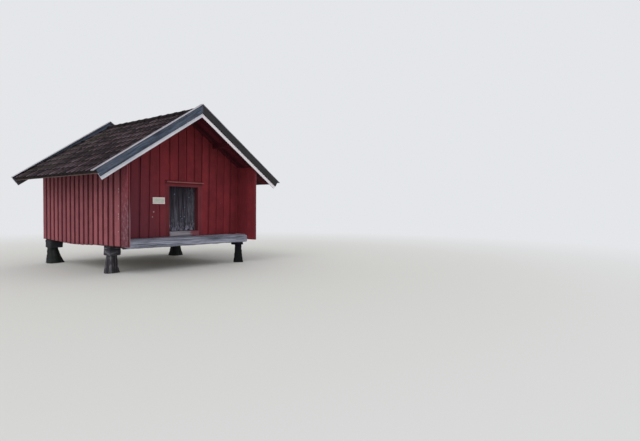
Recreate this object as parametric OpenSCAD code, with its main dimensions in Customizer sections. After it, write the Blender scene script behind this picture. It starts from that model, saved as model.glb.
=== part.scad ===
/* [Body] */
// Width over the side cladding
body_w = 4150; // [3800:10:4600]
// Length from the front edge of the wing walls to the rear cladding
body_l = 4800; // [4300:10:5400]
// Depth of the sheltered porch in front of the front wall
recess = 750; // [600:10:950]

/* [Posts] */
// Height of the underside of the sills above the ground
base_h = 685; // [600:5:760]
// Distance of the post centres in from the side cladding
post_inset = 205; // [190:1:260]
// Bevel on the edges of the cap blocks
cap_bevel = 18; // [5:1:30]
// How the foot flares: 1 is a straight cone, and more keeps the flare near the ground
flare_power = 1.5; // [1:0.1:3]

/* [Front left post] */
// Distance behind the front edge of the wing walls
front_left_back = 1120; // [900:10:1300]
// Height of the post under its cap block
front_left_h = 445; // [400:5:560]
// Radius at the neck
front_left_r = 150; // [110:1:155]
// How far the foot flares out
front_left_flare = 40; // [20:1:90]
// Width of the cap block
front_left_cap = 320; // [305:5:360]

/* [Front right post] */
// Distance behind the front edge of the wing walls
front_right_back = 630; // [560:10:900]
// Height of the post under its cap block
front_right_h = 540; // [400:5:560]
// Radius at the neck
front_right_r = 82; // [75:1:135]
// How far the foot flares out
front_right_flare = 58; // [20:1:90]
// Width of the cap block
front_right_cap = 285; // [275:5:340]

/* [Rear left post] */
// Distance in front of the rear cladding
rear_left_in = 240; // [220:10:600]
// Height of the post under its cap block
rear_left_h = 455; // [400:5:560]
// Radius at the neck
rear_left_r = 143; // [130:1:175]
// How far the foot flares out
rear_left_flare = 100; // [40:1:130]
// Width of the cap block
rear_left_cap = 370; // [355:5:400]
// How far the post leans towards its corner of the building, in degrees
rear_left_lean = 6; // [0:0.5:8]

/* [Rear right post] */
// Distance in front of the rear cladding
rear_right_in = 930; // [220:10:1100]
// Height of the post under its cap block
rear_right_h = 460; // [400:5:560]
// Radius at the neck
rear_right_r = 155; // [130:1:175]
// How far the foot flares out
rear_right_flare = 85; // [40:1:130]
// Width of the cap block
rear_right_cap = 370; // [355:5:400]

/* [Logs] */
// Thickness of the hewn logs
log_t = 155; // [130:1:180]
// Height of the sill logs
sill_h = 185; // [160:1:220]
// Height of the threshold log
threshold_h = 145; // [110:1:180]
// Number of log courses beside the doorway
door_courses = 6; // [5:1:8]
// Bevel along the log edges
log_bevel = 12; // [4:1:20]
// Height of the log walls from the underside of the sills to the roof boards
wall_h = 2210; // [2100:1:2500]

/* [Floor] */
// Thickness of the floor boards
floor_t = 30; // [22:1:40]
// Number of floor joists
joists = 4; // [3:1:6]
// Width of a floor joist
joist_w = 130; // [100:1:160]
// Height of a floor joist
joist_h = 140; // [110:1:155]

/* [Cladding] */
// Thickness of the under boards
under_t = 22; // [16:1:28]
// Thickness of the over boards
over_t = 23; // [16:1:28]
// Spacing of the over boards on the side and rear walls
side_pitch = 260; // [225:1:300]
// Width of the over boards on the side and rear walls
side_over_w = 165; // [130:1:190]
// Width of the first over board at a rear corner
rear_corner_w = 192; // [165:1:230]
// Spacing of the over boards on the front wall
front_pitch = 270; // [240:1:320]
// Width of the over boards on the front wall
front_over_w = 210; // [170:1:230]
// How far the front boards over and right of the doorway stand to the right of its middle
front_shift = 62; // [-130:1:130]
// Width of the outer board at a front corner
corner_w = 290; // [230:5:340]
// Groove between the outer and the inner board at a front corner
corner_gap = 80; // [10:1:95]
// Room between the caps and the low side boards beside them
cap_room = 20; // [10:1:30]
// How far the side boards stay above the underside of the sills
skirt = 25; // [0:1:60]
// How much lower the side boards reach halfway along the wall
skirt_dip = 60; // [0:5:80]
// Thickness of the boards inside the wing walls
lining_t = 25; // [18:1:30]

/* [Porch beam] */
// Front face of the porch beam behind the front edge of the wing walls
beam_back = 330; // [250:5:420]
// Depth of the rounded brow of the porch beam
brow_y = 180; // [80:5:260]
// Height of the rounded brow of the porch beam
brow_z = 75; // [20:1:110]
// Bevel under the front of the porch beam
beam_foot = 28; // [10:1:50]
// How far the belly at the front of the porch beam hangs below the sills
beam_belly = 50; // [0:5:70]
// Width of the belly
belly_w = 140; // [100:5:150]
// Depth of the lap where the porch beam rests on the sill tails
beam_lap = 90; // [60:1:110]
// Part of the beam in front of the sill tails
beam_cover = 60; // [40:1:90]

/* [Doorway] */
// Width of the doorway between the linings
door_w = 960; // [850:5:1050]
// Height of the doorway above the threshold
door_h = 1237; // [1150:1:1350]
// Centre of the doorway, to the right of the middle of the front
door_x = 28; // [-60:1:80]
// Width of the casings beside the doorway
casing_w = 120; // [90:1:150]
// Height of the casing over the doorway
head_h = 100; // [80:1:120]
// Thickness of the casings
casing_t = 30; // [25:1:36]
// Height of the drip board
drip_h = 48; // [35:1:60]
// How far the drip board stands out from the cladding
drip_out = 60; // [40:1:80]
// How far the drip board reaches past the right casing
drip_past = 32; // [10:1:60]
// How far the drip board stops short over the left casing
drip_short = 20; // [0:1:40]
// Thickness of the linings of the doorway
jamb_t = 30; // [22:1:36]
// How far the threshold stands out from the cladding
threshold_out = 40; // [0:1:60]

/* [Door] */
// Thickness of the door planks
leaf_t = 30; // [25:1:35]
// Number of planks in the door
planks = 5; // [3:1:7]
// Depth of the grooves between the planks
plank_groove = 5; // [2:1:8]
// How far the door laps behind each lining
leaf_lap = 20; // [12:1:22]
// Clearance between the door and the linings
leaf_gap = 6; // [5:1:8]
// Clearance under the door
leaf_foot = 8; // [6:1:12]
// Height of the ledges on the inside of the door
ledge_h = 95; // [70:1:120]
// Thickness of the ledges
ledge_t = 25; // [18:1:30]
// Distance of the ledges from the ends of the door
ledge_in = 190; // [140:5:260]

/* [Hinges] */
// Length of the strap on the door
strap_l = 620; // [400:10:800]
// Height of the strap
strap_h = 42; // [34:1:50]
// Thickness of the strap
strap_t = 6; // [5:1:8]
// Radius of the hinge pins
pin_r = 8; // [7:0.5:10]
// Wall of the strap eye round the pin
eye_wall = 6; // [5:0.5:8]
// Running clearance round the pin
pin_clear = 0.1; // [0.05:0.05:0.5]
// Clearance between the strap eye and the door planks
pin_off = 5; // [3:1:8]
// Distance from the strap to the ledge beside it
strap_off = 14; // [8:1:30]
// Size of the plate that holds the pin
hook_plate = 70; // [55:1:90]
// Height of the shoulder under the strap eye
shoulder_h = 20; // [12:1:30]
// Gap between the shoulder and the strap eye
shoulder_gap = 0.5; // [0.3:0.1:1]

/* [Sign] */
// Width of the plain sign plate
sign_w = 360; // [300:5:400]
// Height of the sign plate
sign_h = 175; // [150:5:240]
// Thickness of the sign plate
sign_t = 8; // [4:1:12]
// Distance from the sign plate to the casing
sign_off = 22; // [5:1:60]
// Height of the middle of the sign plate above the threshold
sign_up = 835; // [700:5:950]

/* [Roof] */
// Pitch of the roof in degrees
pitch = 32.5; // [30:0.5:38]
// Reach of the roof beyond the side cladding
eave_out = 736; // [600:2:800]
// Reach of the roof beyond the front edge of the wing walls
gable_out = 130; // [100:1:200]
// Distance of the verge boards from the rear cladding, which they nearly touch
rear_gap = 4; // [2:1:140]
// Thickness of the roof boards
roof_board_t = 25; // [20:1:32]
// Height of the tile battens
batten_h = 25; // [20:1:30]
// Width of the tile battens
batten_w = 45; // [35:1:60]
// Spacing of the tile courses up the slope
course = 330; // [300:1:350]
// How far a tile laps over the head of the tile below
tile_lap = 70; // [50:1:90]
// Width of one tile column
tile_w = 250; // [220:1:280]
// Height of the rolls of the tiles
tile_wave = 34; // [26:1:38]
// Shape of the rolls: 1 is an even wave, and more makes the rolls narrow and the troughs broad
roll_power = 1.5; // [1:0.1:2]
// Thickness of a tile
tile_t = 18; // [14:1:22]
// Radius of the ridge tiles
ridge_r = 105; // [95:1:140]
// Number of ridge tiles
ridge_count = 13; // [11:1:15]
// Length of the collar where a ridge tile laps the next
collar_l = 60; // [40:1:80]
// How far the collar stands out
collar_t = 9; // [6:1:12]
// Width of the purlins
purlin_w = 140; // [100:1:160]
// Height of the purlins
purlin_h = 130; // [110:1:180]
// Distance of the side purlins from the ridge
purlin_x = 1080; // [900:5:1200]

/* [Verges] */
// How much steeper the front verge boards stand than the settled roof, in degrees
verge_lift = 1; // [0:0.5:3]
// The same for the rear verge boards
rear_verge_lift = 2; // [0:0.5:3]
// Thickness of the verge boards
barge_t = 27; // [20:1:30]
// How far the white lower board hangs below the roof boards
white_drop = 141; // [110:1:170]
// Visible width of the white lower board
white_seen = 84; // [60:1:110]
// Width of the grey upper board
grey_w = 186; // [160:1:220]
// Width of the cap board on the verge
cap_board_w = 120; // [90:1:150]
// Thickness of the cap board
cap_board_t = 25; // [18:1:30]
// How far the cap board overhangs the grey board
cap_over = 15; // [5:1:30]
// How far the front cap board runs past the end of the grey board
cap_past = 85; // [40:1:110]
// The same for the rear cap board
rear_cap_past = 10; // [0:1:110]
// Thickness of the eave board
eave_t = 28; // [20:1:36]
// How far the tiles and the verge boards run past the eave board
eave_back = 34; // [15:1:60]

/* [Joinery] */
// Seam between boards that meet at a mitre or a butt joint
seam = 0.6; // [0.3:0.1:2]
// Clearance between pieces that lie on each other on the slope or cross in the log corners
rest_gap = 0.1; // [0.05:0.05:0.3]

/* [Hidden] */

red = "#7a2a2e";
red_side = "#8a4a4e";
grey_wood = "#6f7078";
dark_wood = "#4a4138";
log_wood = "#8a6f50";
white_paint = "#c9ccd2";
tile_red = "#4a3733";
iron = "#3b3a3c";

// Heights
sill_z = base_h;
porch_z = sill_z + sill_h;
door_z = porch_z + threshold_h;
skirt_z = sill_z + skirt;
lintel_z = door_z + door_h + jamb_t;
log_h = (lintel_z - door_z) / door_courses;
eave_z = sill_z + wall_h;

// Plan
clad_t = under_t + over_t;
side_x = body_w / 2;
log_x = side_x - clad_t;
room_x = log_x - log_t;
lining_x = log_x - lining_t;
rear_out = 2 * barge_t + rear_gap;
grey_y = (body_l + gable_out + rear_out) / 2;
front_y = gable_out - grey_y;
rear_y = front_y + body_l;
face_y = front_y + recess;
log_front_y = face_y + clad_t;
room_front_y = log_front_y + log_t;
log_rear_y = rear_y - clad_t;
room_rear_y = log_rear_y - log_t;

// Roof
apex_z = eave_z + log_x * tan(pitch);
slope_l = (side_x + eave_out) / cos(pitch);
deck_l = slope_l - eave_back - eave_t;
batten_n = roof_board_t + rest_gap;
tile_n = batten_n + batten_h;
grey_drop = white_drop - white_seen;
white_y = grey_y - barge_t;
deck_y = white_y - barge_t;
tiles_y = white_y - rest_gap;
ridge_inner = ridge_r - tile_t;

// Tile courses, counted up from the eave: each is tilted, so that its tail lies on the course below
batten_clear = tile_n * tan(pitch) + seam;
courses = ceil((slope_l - tile_lap - batten_clear) / course);
tile_tilt = asin((tile_t + rest_gap) / course);
function head_s(k) = slope_l - (k + 1) * course - tile_lap;
function under_n(k, s) = tile_n + rest_gap + (s - head_s(k)) * tan(tile_tilt);

// Log courses above the threshold course, counted from 2
plate_i = floor((eave_z - door_z) / log_h) + 1;
top_i = floor((apex_z - door_z) / log_h) + 2;
function course_z(i) = i == 0 ? sill_z : i == 1 ? porch_z : door_z + (i - 2) * log_h;
function odd(i) = i % 2 == 1;
function side_runs_on(i) = i == plate_i || !odd(i);
function cross_runs_on(i) = i < plate_i && odd(i);

// Doorway
opening_l = door_x - door_w / 2;
opening_r = door_x + door_w / 2;
hole_l = opening_l - jamb_t;
hole_r = opening_r + jamb_t;
casing_l = opening_l - casing_w;
casing_r = opening_r + casing_w;
casing_y = face_y + over_t;
head_z = door_z + door_h;
drip_z = head_z + head_h;
drip_l = casing_l + drip_short;
drip_r = casing_r + drip_past;
jamb_end_y = room_front_y - leaf_t - leaf_gap;

// Door
leaf_l = opening_l - leaf_lap;
leaf_w = door_w + 2 * leaf_lap;
leaf_z = door_z + leaf_foot;
leaf_h = door_h + leaf_lap - leaf_foot;
leaf_y = room_front_y - leaf_t;
eye_r = pin_r + pin_clear + eye_wall;
pin_x = (hole_l + leaf_l) / 2;
pin_y = room_front_y + eye_r + pin_off;
ledge_zs = [leaf_z + ledge_in, leaf_z + leaf_h - ledge_in - ledge_h];
strap_zs = [ledge_zs[0] + ledge_h + strap_off, ledge_zs[1] - strap_off - strap_h];
ledge_side = 60;

// A box from one corner to the other
module box(low, high) {
  translate(low) cube([high[0] - low[0], high[1] - low[1], high[2] - low[2]]);
}

// An outline in X and Z, extruded from y0 to y1
module along_y(y0, y1) {
  translate([0, y1, 0]) rotate([90, 0, 0]) linear_extrude(height = y1 - y0) children();
}

// An outline in Y and Z, extruded from x0 to x1
module along_x(x0, x1) {
  translate([x0, 0, 0]) rotate([90, 0, 90]) linear_extrude(height = x1 - x0) children();
}

// The piece and its mirror image on the left side
module both_sides() {
  children();
  mirror([1, 0, 0]) children();
}

// Point on the right slope: s down the slope, n above the underside of the roof boards
function on_slope(s, n, p = pitch, z = apex_z) = [s * cos(p) + n * sin(p), z - s * sin(p) + n * cos(p)];
function at_ridge(n, p = pitch, z = apex_z) = [0, z + n / cos(p)];

// The space under the roof boards
module under_roof() {
  reach = side_x + eave_out;
  drop = reach * tan(pitch);
  along_y(-grey_y, grey_y)
    polygon([
      [-reach, 0], [reach, 0],
      [reach, apex_z - drop], [0, apex_z], [-reach, apex_z - drop]
    ]);
}

// Outline of the stacked logs of courses i0 to i1, up to height top, with bevelled edges
module log_stack(i0, i1, top) {
  b = log_bevel;
  z = [for (i = [i0:i1]) course_z(i), top];
  n = i1 - i0;
  rise = [for (k = [0:n]) each [[log_t - b, z[k]], [log_t, z[k] + b], [log_t, z[k + 1] - b]]];
  fall = [for (k = [n:-1:0]) each [[b, z[k + 1]], [0, z[k + 1] - b], [0, z[k] + b]]];
  polygon(concat(rise, [[log_t - b, top]], fall, [[b, z[0]]]));
}

// Logs along Y on the right side, notched where the cross logs run on
module side_logs(i0, i1, top) {
  g = rest_gap;
  difference() {
    along_y(log_front_y, log_rear_y) translate([room_x, 0]) log_stack(i0, i1, top);
    for (i = [i0:i1])
      if (!side_runs_on(i)) {
        z0 = course_z(i) - g;
        z1 = course_z(i + 1) + g;
        box([room_x - 1, log_front_y - 1, z0], [log_x + 1, room_front_y + g, z1]);
        box([room_x - 1, room_rear_y - g, z0], [log_x + 1, log_rear_y + 1, z1]);
      }
  }
}

// Logs along X with their front face at y, notched where the side logs run on
module cross_logs(i0, i1, x0, x1, y) {
  g = rest_gap;
  difference() {
    along_x(max(x0, -log_x), min(x1, log_x)) translate([y, 0]) log_stack(i0, i1, course_z(i1 + 1));
    for (i = [i0:i1])
      if (!cross_runs_on(i))
        both_sides()
          box([room_x - g, y - 1, course_z(i) - g], [log_x + 1, y + log_t + 1, course_z(i + 1) + g]);
  }
}

// Places of the posts: x, y, height, neck radius, flare, cap width, lean
post_x = side_x - post_inset;
front_left = [
  -post_x, front_y + front_left_back,
  front_left_h, front_left_r, front_left_flare, front_left_cap, 0
];
front_right = [
  post_x, front_y + front_right_back,
  front_right_h, front_right_r, front_right_flare, front_right_cap, 0
];
rear_left = [
  -post_x, rear_y - rear_left_in,
  rear_left_h, rear_left_r, rear_left_flare, rear_left_cap, rear_left_lean
];
rear_right = [
  post_x, rear_y - rear_right_in,
  rear_right_h, rear_right_r, rear_right_flare, rear_right_cap, 0
];
posts = [front_left, front_right, rear_left, rear_right];

// Stub with a foot that flares by a power of the height, and more added at both ends
module stub(h, r, flare, more) {
  steps = 8;
  rotate_extrude($fn = 48)
    polygon(concat(
      [[0, h + more], [0, -more], [r + flare, -more]],
      [for (k = [0:steps]) [r + flare * pow(1 - k / steps, flare_power), h * k / steps]],
      more > 0 ? [[r, h + more]] : []
    ));
}

// Post: a stub, or a leaning one that is cut level at the top and at the foot
module post(p) {
  h = p[2];
  wide = 3 * h;
  translate([p[0], p[1], 0])
    if (p[6] > 0)
      intersection() {
        rotate([0, 0, 135]) rotate([0, p[6], 0]) stub(h, p[3], p[4], p[3]);
        box([-wide, -wide, 0], [wide, wide, h]);
      }
    else
      stub(h, p[3], p[4], 0);
}

// Cap block between a post and the sill
module cap_block(p) {
  b = cap_bevel;
  w = p[5];
  translate([p[0] - w / 2, p[1] - w / 2, p[2]])
    linear_extrude(height = sill_z - p[2])
      polygon([[b, 0], [w - b, 0], [w, b], [w, w - b], [w - b, w], [b, w], [0, w - b], [0, b]]);
}

module front_posts() {
  color(grey_wood) for (p = [front_left, front_right]) post(p);
}
module rear_posts() {
  color(dark_wood) for (p = [rear_left, rear_right]) post(p);
}
module post_caps() {
  color(dark_wood) for (p = posts) cap_block(p);
}

// Side sill with a lower tail under the porch beam
module side_sill() {
  side_logs(0, 0, porch_z);
  box([room_x, front_y + beam_back + beam_cover, sill_z], [lining_x, log_front_y, porch_z - beam_lap]);
}

module side_sills() {
  color(log_wood) both_sides() side_sill();
}
module cross_sills() {
  color(log_wood)
    for (y = [log_front_y, room_rear_y])
      cross_logs(0, 0, -log_x, log_x, y);
}

module floor_joists() {
  first = room_front_y + 300;
  last = room_rear_y - 300 - joist_w;
  color(log_wood)
    for (k = [0:joists - 1])
      translate([-room_x, first + (last - first) * k / (joists - 1), porch_z - joist_h])
        cube([2 * room_x, joist_w, joist_h]);
}

module floor() {
  color(log_wood) box([-room_x, room_front_y, porch_z], [room_x, room_rear_y, porch_z + floor_t]);
}

// Porch beam: a hewn half log between the wing walls, lapped over the sill tails
module porch_beam() {
  y0 = front_y + beam_back;
  low = sill_z - beam_belly;
  steps = 10;
  brow = [for (k = [0:steps]) [
    y0 + brow_y * (1 - sin(90 * k / steps)),
    porch_z - brow_z * (1 - cos(90 * k / steps))
  ]];
  color(grey_wood)
    difference() {
      along_x(-lining_x, lining_x)
        polygon(concat(brow, [
          [y0, low + beam_foot], [y0 + beam_foot, low], [y0 + belly_w, sill_z],
          [log_front_y, sill_z], [log_front_y, porch_z]
        ]));
      both_sides()
        box([room_x, y0 + beam_cover, sill_z - 1], [lining_x + 1, log_front_y + 1, porch_z - beam_lap]);
    }
}

// Threshold: the log course under the doorway, with a front lip between the casings
module threshold() {
  color(grey_wood) {
    cross_logs(1, 1, -log_x, log_x, log_front_y);
    box([opening_l, face_y - threshold_out, porch_z], [opening_r, log_front_y + log_bevel, door_z]);
  }
}

// The top course of a side wall is a tall plate log, cut to the slope of the roof
module side_wall() {
  intersection() {
    side_logs(1, plate_i, apex_z);
    under_roof();
  }
}

module right_wall() {
  color(log_wood) side_wall();
}
module left_wall() {
  color(log_wood) mirror([1, 0, 0]) side_wall();
}

module rear_wall() {
  color(log_wood)
    intersection() {
      cross_logs(1, plate_i - 1, -log_x, log_x, room_rear_y);
      under_roof();
    }
}
module rear_gable() {
  color(log_wood)
    difference() {
      intersection() {
        cross_logs(plate_i, top_i, -log_x, log_x, room_rear_y);
        under_roof();
      }
      purlin_notches();
    }
}
module front_wall_left() {
  color(log_wood) cross_logs(2, door_courses + 1, -log_x, hole_l, log_front_y);
}
module front_wall_right() {
  color(log_wood) cross_logs(2, door_courses + 1, hole_r, log_x, log_front_y);
}
module front_gable() {
  color(log_wood)
    difference() {
      intersection() {
        cross_logs(door_courses + 2, top_i, -log_x, log_x, log_front_y);
        under_roof();
      }
      purlin_notches();
    }
}

// Over boards of a side wall: a wide one at the rear corner, like ones forward, then the inner corner board
side_gap = side_pitch - side_over_w;
side_run = body_l - rear_corner_w - side_gap - corner_w - corner_gap;
side_boards = floor(side_run / side_pitch);
inner_w = side_run - side_boards * side_pitch;

// Lower end of an over board: between the corner posts it dips by a sine, but stays above the caps
dip_y0 = front_left[1] + front_left_cap / 2;
dip_y1 = rear_left[1] - rear_left_cap / 2 - cap_room;
function dip(y) = y > dip_y0 && y < dip_y1 ? skirt_dip * sin(180 * (y - dip_y0) / (dip_y1 - dip_y0)) : 0;
function at_cap(y, w) = max([for (p = posts) abs(y - p[1]) < (p[5] + w) / 2 + cap_room ? 1 : 0]) > 0;
function board_z(y, w) = skirt_z - (at_cap(y, w) ? min(dip(y), skirt - rest_gap) : dip(y));

module side_over_board(y, w) {
  box([log_x + under_t, y, board_z(y + w / 2, w)], [side_x, y + w, apex_z]);
}
module side_cladding() {
  intersection() {
    union() {
      box([log_x, front_y, skirt_z], [log_x + under_t, rear_y, apex_z]);
      side_over_board(rear_y - rear_corner_w, rear_corner_w);
      for (k = [1:side_boards]) side_over_board(rear_y - rear_corner_w - k * side_pitch, side_over_w);
      if (inner_w > 40) side_over_board(front_y + corner_w + corner_gap, inner_w);
    }
    under_roof();
  }
}

module cladding_right() {
  color(red_side) side_cladding();
}
module cladding_left() {
  color(red_side) mirror([1, 0, 0]) side_cladding();
}
module corner_boards() {
  color(grey_wood)
    intersection() {
      both_sides()
        box([side_x - over_t, front_y, skirt_z], [side_x, front_y + corner_w, apex_z]);
      under_roof();
    }
}

// Over boards on a front or rear wall, spaced from the middle x
module wall_over_boards(x0, x1, y0, middle, pitch_x, board_w) {
  for (k = [-floor(body_w / pitch_x):floor(body_w / pitch_x)]) {
    a = max(x0, middle + k * pitch_x + (pitch_x - board_w) / 2);
    b = min(x1, middle + (k + 1) * pitch_x - (pitch_x - board_w) / 2);
    if (b - a > 25)
      translate([a, y0]) square([b - a, over_t]);
  }
}

module cladding_rear() {
  color(red)
    difference() {
      intersection() {
        translate([0, 0, skirt_z])
          linear_extrude(height = apex_z) {
            translate([-log_x, log_rear_y]) square([2 * log_x, under_t]);
            wall_over_boards(-log_x, log_x, log_rear_y + under_t, 0, side_pitch, side_over_w);
          }
        under_roof();
      }
      purlin_notches();
    }
}

// Front cladding between x0 and x1, with over boards kept off the casings and spaced from the middle x
module front_boards(x0, x1, over0, over1, middle) {
  translate([x0, casing_y]) square([x1 - x0, under_t]);
  wall_over_boards(over0, over1, face_y, middle, front_pitch, front_over_w);
}

module cladding_front_left() {
  color(red)
    translate([0, 0, porch_z])
      linear_extrude(height = lintel_z - porch_z)
        front_boards(-lining_x, hole_l, -lining_x, casing_l, door_x);
}
module cladding_front_right() {
  color(red)
    translate([0, 0, porch_z])
      linear_extrude(height = lintel_z - porch_z)
        front_boards(hole_r, lining_x, casing_r, lining_x, door_x + front_shift);
}
module cladding_front_over() {
  color(red)
    difference() {
      intersection() {
        translate([0, 0, lintel_z])
          linear_extrude(height = apex_z)
            front_boards(-lining_x, lining_x, -lining_x, lining_x, door_x + front_shift);
        under_roof();
      }
      purlin_notches();
      box([casing_l, face_y - 1, porch_z], [casing_r, casing_y, drip_z]);
      box([drip_l, face_y - 1, drip_z], [drip_r, casing_y, drip_z + drip_h]);
    }
}

module wing_linings() {
  color(red)
    intersection() {
      both_sides() box([lining_x, front_y, skirt_z], [log_x, log_front_y, apex_z]);
      under_roof();
    }
}

// Purlins: their tops follow the roof boards, and raised tops cut the notches in the gables
module ridge_purlin_shape(raised = 0) {
  w = purlin_w / 2;
  low = apex_z - purlin_h;
  edge = apex_z + raised - w * tan(pitch);
  along_y(-deck_y, deck_y) polygon([[-w, low], [w, low], [w, edge], [0, apex_z + raised], [-w, edge]]);
}
module side_purlin_shape(raised = 0) {
  x0 = purlin_x - purlin_w / 2;
  x1 = purlin_x + purlin_w / 2;
  z0 = apex_z - x0 * tan(pitch);
  z1 = apex_z - x1 * tan(pitch);
  along_y(-deck_y, deck_y)
    polygon([[x0, z0 - purlin_h], [x1, z0 - purlin_h], [x1, z1 + raised], [x0, z0 + raised]]);
}
module purlin_notches() {
  ridge_purlin_shape(log_h);
  both_sides() side_purlin_shape(log_h);
}
module ridge_purlin() {
  color(red) ridge_purlin_shape();
}
module side_purlins() {
  color(red) both_sides() side_purlin_shape();
}

module roof_deck() {
  n0 = rest_gap;
  n1 = roof_board_t;
  along_y(-deck_y, deck_y)
    polygon([at_ridge(n0), on_slope(deck_l, n0), on_slope(deck_l, n1), at_ridge(n1)]);
}
module roof_boards_right() {
  color(red) roof_deck();
}
module roof_boards_left() {
  color(red) mirror([1, 0, 0]) roof_deck();
}

// Tile battens: one under the head of each course
module tile_battens() {
  color(dark_wood)
    both_sides()
      along_y(-deck_y, deck_y)
        for (k = [0:courses - 1]) {
          s = max(head_s(k), batten_clear);
          polygon([
            on_slope(s, batten_n), on_slope(s + batten_w, batten_n),
            on_slope(s + batten_w, tile_n), on_slope(s, tile_n)
          ]);
        }
}

// Section of the tiles along Y: a roll and a trough once a tile
function wave(y) = tile_wave * pow(0.5 + 0.5 * sin(360 * y / tile_w), roll_power);
wave_steps = 8 * round(2 * tiles_y / tile_w);
function wave_y(k) = -tiles_y + 2 * tiles_y * k / wave_steps;

// Tile course k of the right slope, laid as one waved sheet
module tile_course(k) {
  head = on_slope(head_s(k), tile_n + rest_gap);
  rise = [for (j = [0:wave_steps]) [wave_y(j), tile_t + wave(wave_y(j))]];
  base = [for (j = [wave_steps:-1:0]) [wave_y(j), wave(wave_y(j))]];
  translate([head[0], 0, head[1]])
    rotate([0, pitch - tile_tilt, 0])
      rotate([90, 0, 90]) linear_extrude(height = course + tile_lap) polygon(concat(rise, base));
}
module tile_cover() {
  for (k = [0:courses - 2]) tile_course(k);
  intersection() {
    tile_course(courses - 1);
    box([0, -grey_y, 0], [body_w, grey_y, 2 * apex_z]);
  }
}
module tiles_right() {
  color(tile_red) tile_cover();
}
module tiles_left() {
  color(tile_red) mirror([1, 0, 0]) tile_cover();
}

// Height of the crests of the top course over the slope, and the place where the ridge tiles rest on them
function crest_n(s) = under_n(courses - 1, s) + (tile_t + tile_wave) / cos(tile_tilt);
ridge_s = (ridge_inner - crest_n(0) * sin(pitch)) / (cos(pitch) + tan(tile_tilt) * sin(pitch));
ridge_z = on_slope(ridge_s, crest_n(ridge_s))[1];

// Upper half of a tube along Y that lies on the crests beside the ridge
module half_round(r, y0, y1) {
  along_y(y0, y1)
    translate([0, ridge_z])
      difference() {
        circle(r, $fn = 64);
        circle(ridge_inner, $fn = 64);
        translate([-2 * r, -2 * r]) square([4 * r, 2 * r]);
      }
}

// Ridge tiles: half round, each with a collar that laps the next
module ridge_tiles() {
  l = 2 * tiles_y / ridge_count;
  color(tile_red) {
    half_round(ridge_r, -tiles_y, tiles_y);
    for (k = [0:ridge_count - 1])
      half_round(ridge_r + collar_t, -tiles_y + k * l, -tiles_y + k * l + collar_l);
  }
}

// Eave boards: their tops carry the first course
module eave_boards() {
  s0 = deck_l + rest_gap;
  s1 = s0 + eave_t;
  top = under_n(0, s0) - rest_gap;
  color(dark_wood)
    both_sides()
      along_y(-deck_y, deck_y)
        polygon([on_slope(s0, 0), on_slope(s1, 0), on_slope(s1, top), on_slope(s0, top)]);
}

// Verge boards stand at their own pitch p over the edge of the roof at the eave
function verge_z(p) = apex_z + (side_x + eave_out) * (tan(p) - tan(pitch));
function verge_l(p) = (side_x + eave_out) / cos(p);
function on_verge(p, s, n) = on_slope(s, n, p, verge_z(p));
function verge_top(p, n) = at_ridge(n, p, verge_z(p));

// A pair of boards on one gable, mitred at the ridge, where their upper edge starts from top
module barge_pair(p, n0, n1, past, y0, y1, top) {
  s_end = verge_l(p) + past;
  gap = [seam / 2, -seam / 2 * tan(p)];
  both_sides()
    along_y(y0, y1)
      polygon([verge_top(p, n0) + gap, on_verge(p, s_end, n0), on_verge(p, s_end, n1), top + gap]);
}

// Gables: mirrored or not, pitch of the verge boards, length of the cap boards past the grey boards
gables = [[0, pitch + verge_lift, cap_past], [1, pitch + rear_verge_lift, rear_cap_past]];

// The upper edge of the white boards follows the roof boards, so that the tiles lie over them
module barge_boards_white() {
  top = at_ridge(roof_board_t);
  color(white_paint)
    for (g = gables)
      mirror([0, g[0], 0]) barge_pair(g[1], -white_drop, roof_board_t, 0, -white_y, -deck_y, top);
}
module barge_boards_grey() {
  n = grey_w - grey_drop;
  color(grey_wood)
    for (g = gables)
      mirror([0, g[0], 0]) barge_pair(g[1], -grey_drop, n, 0, -grey_y, -white_y, verge_top(g[1], n));
}
module verge_caps() {
  n0 = grey_w - grey_drop + rest_gap;
  n1 = n0 + cap_board_t;
  y0 = -grey_y - cap_over;
  color(grey_wood)
    for (g = gables)
      mirror([0, g[0], 0]) barge_pair(g[1], n0, n1, g[2], y0, y0 + cap_board_w, verge_top(g[1], n1));
}

module door_casings() {
  color(red) {
    box([casing_l, casing_y - casing_t, porch_z], [opening_l, casing_y, head_z - seam]);
    box([opening_r, casing_y - casing_t, porch_z], [casing_r, casing_y, head_z - seam]);
    box([casing_l, casing_y - casing_t, head_z], [casing_r, casing_y, drip_z]);
  }
}

// Drip board with a sloped top
module drip_board() {
  y0 = face_y - drip_out;
  color(red)
    along_x(drip_l, drip_r)
      polygon([
        [y0, drip_z], [casing_y, drip_z], [casing_y, drip_z + drip_h],
        [y0, drip_z + drip_h / 2]
      ]);
}

module door_linings() {
  color(red) {
    box([hole_l, casing_y, door_z], [opening_l, jamb_end_y, head_z - seam]);
    box([opening_r, casing_y, door_z], [hole_r, jamb_end_y, head_z - seam]);
    box([hole_l, casing_y, head_z], [hole_r, jamb_end_y, lintel_z]);
  }
}

module sign_plate() {
  x1 = casing_l - sign_off;
  z0 = door_z + sign_up - sign_h / 2;
  color("white") box([x1 - sign_w, face_y - sign_t, z0], [x1, face_y, z0 + sign_h]);
}

// Door leaf: planks with grooves on both faces
module door_leaf() {
  w = leaf_w / planks;
  g = plank_groove;
  color(grey_wood)
    translate([leaf_l, leaf_y, leaf_z])
      linear_extrude(height = leaf_h)
        for (k = [0:planks - 1])
          translate([k * w, 0])
            polygon([
              [0, g], [g, 0], [w - g, 0], [w, g],
              [w, leaf_t - g], [w - g, leaf_t], [g, leaf_t], [0, leaf_t - g]
            ]);
}

module door_ledges() {
  color(grey_wood)
    for (z = ledge_zs)
      translate([leaf_l + ledge_side, room_front_y, z]) cube([leaf_w - 2 * ledge_side, ledge_t, ledge_h]);
}

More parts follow.
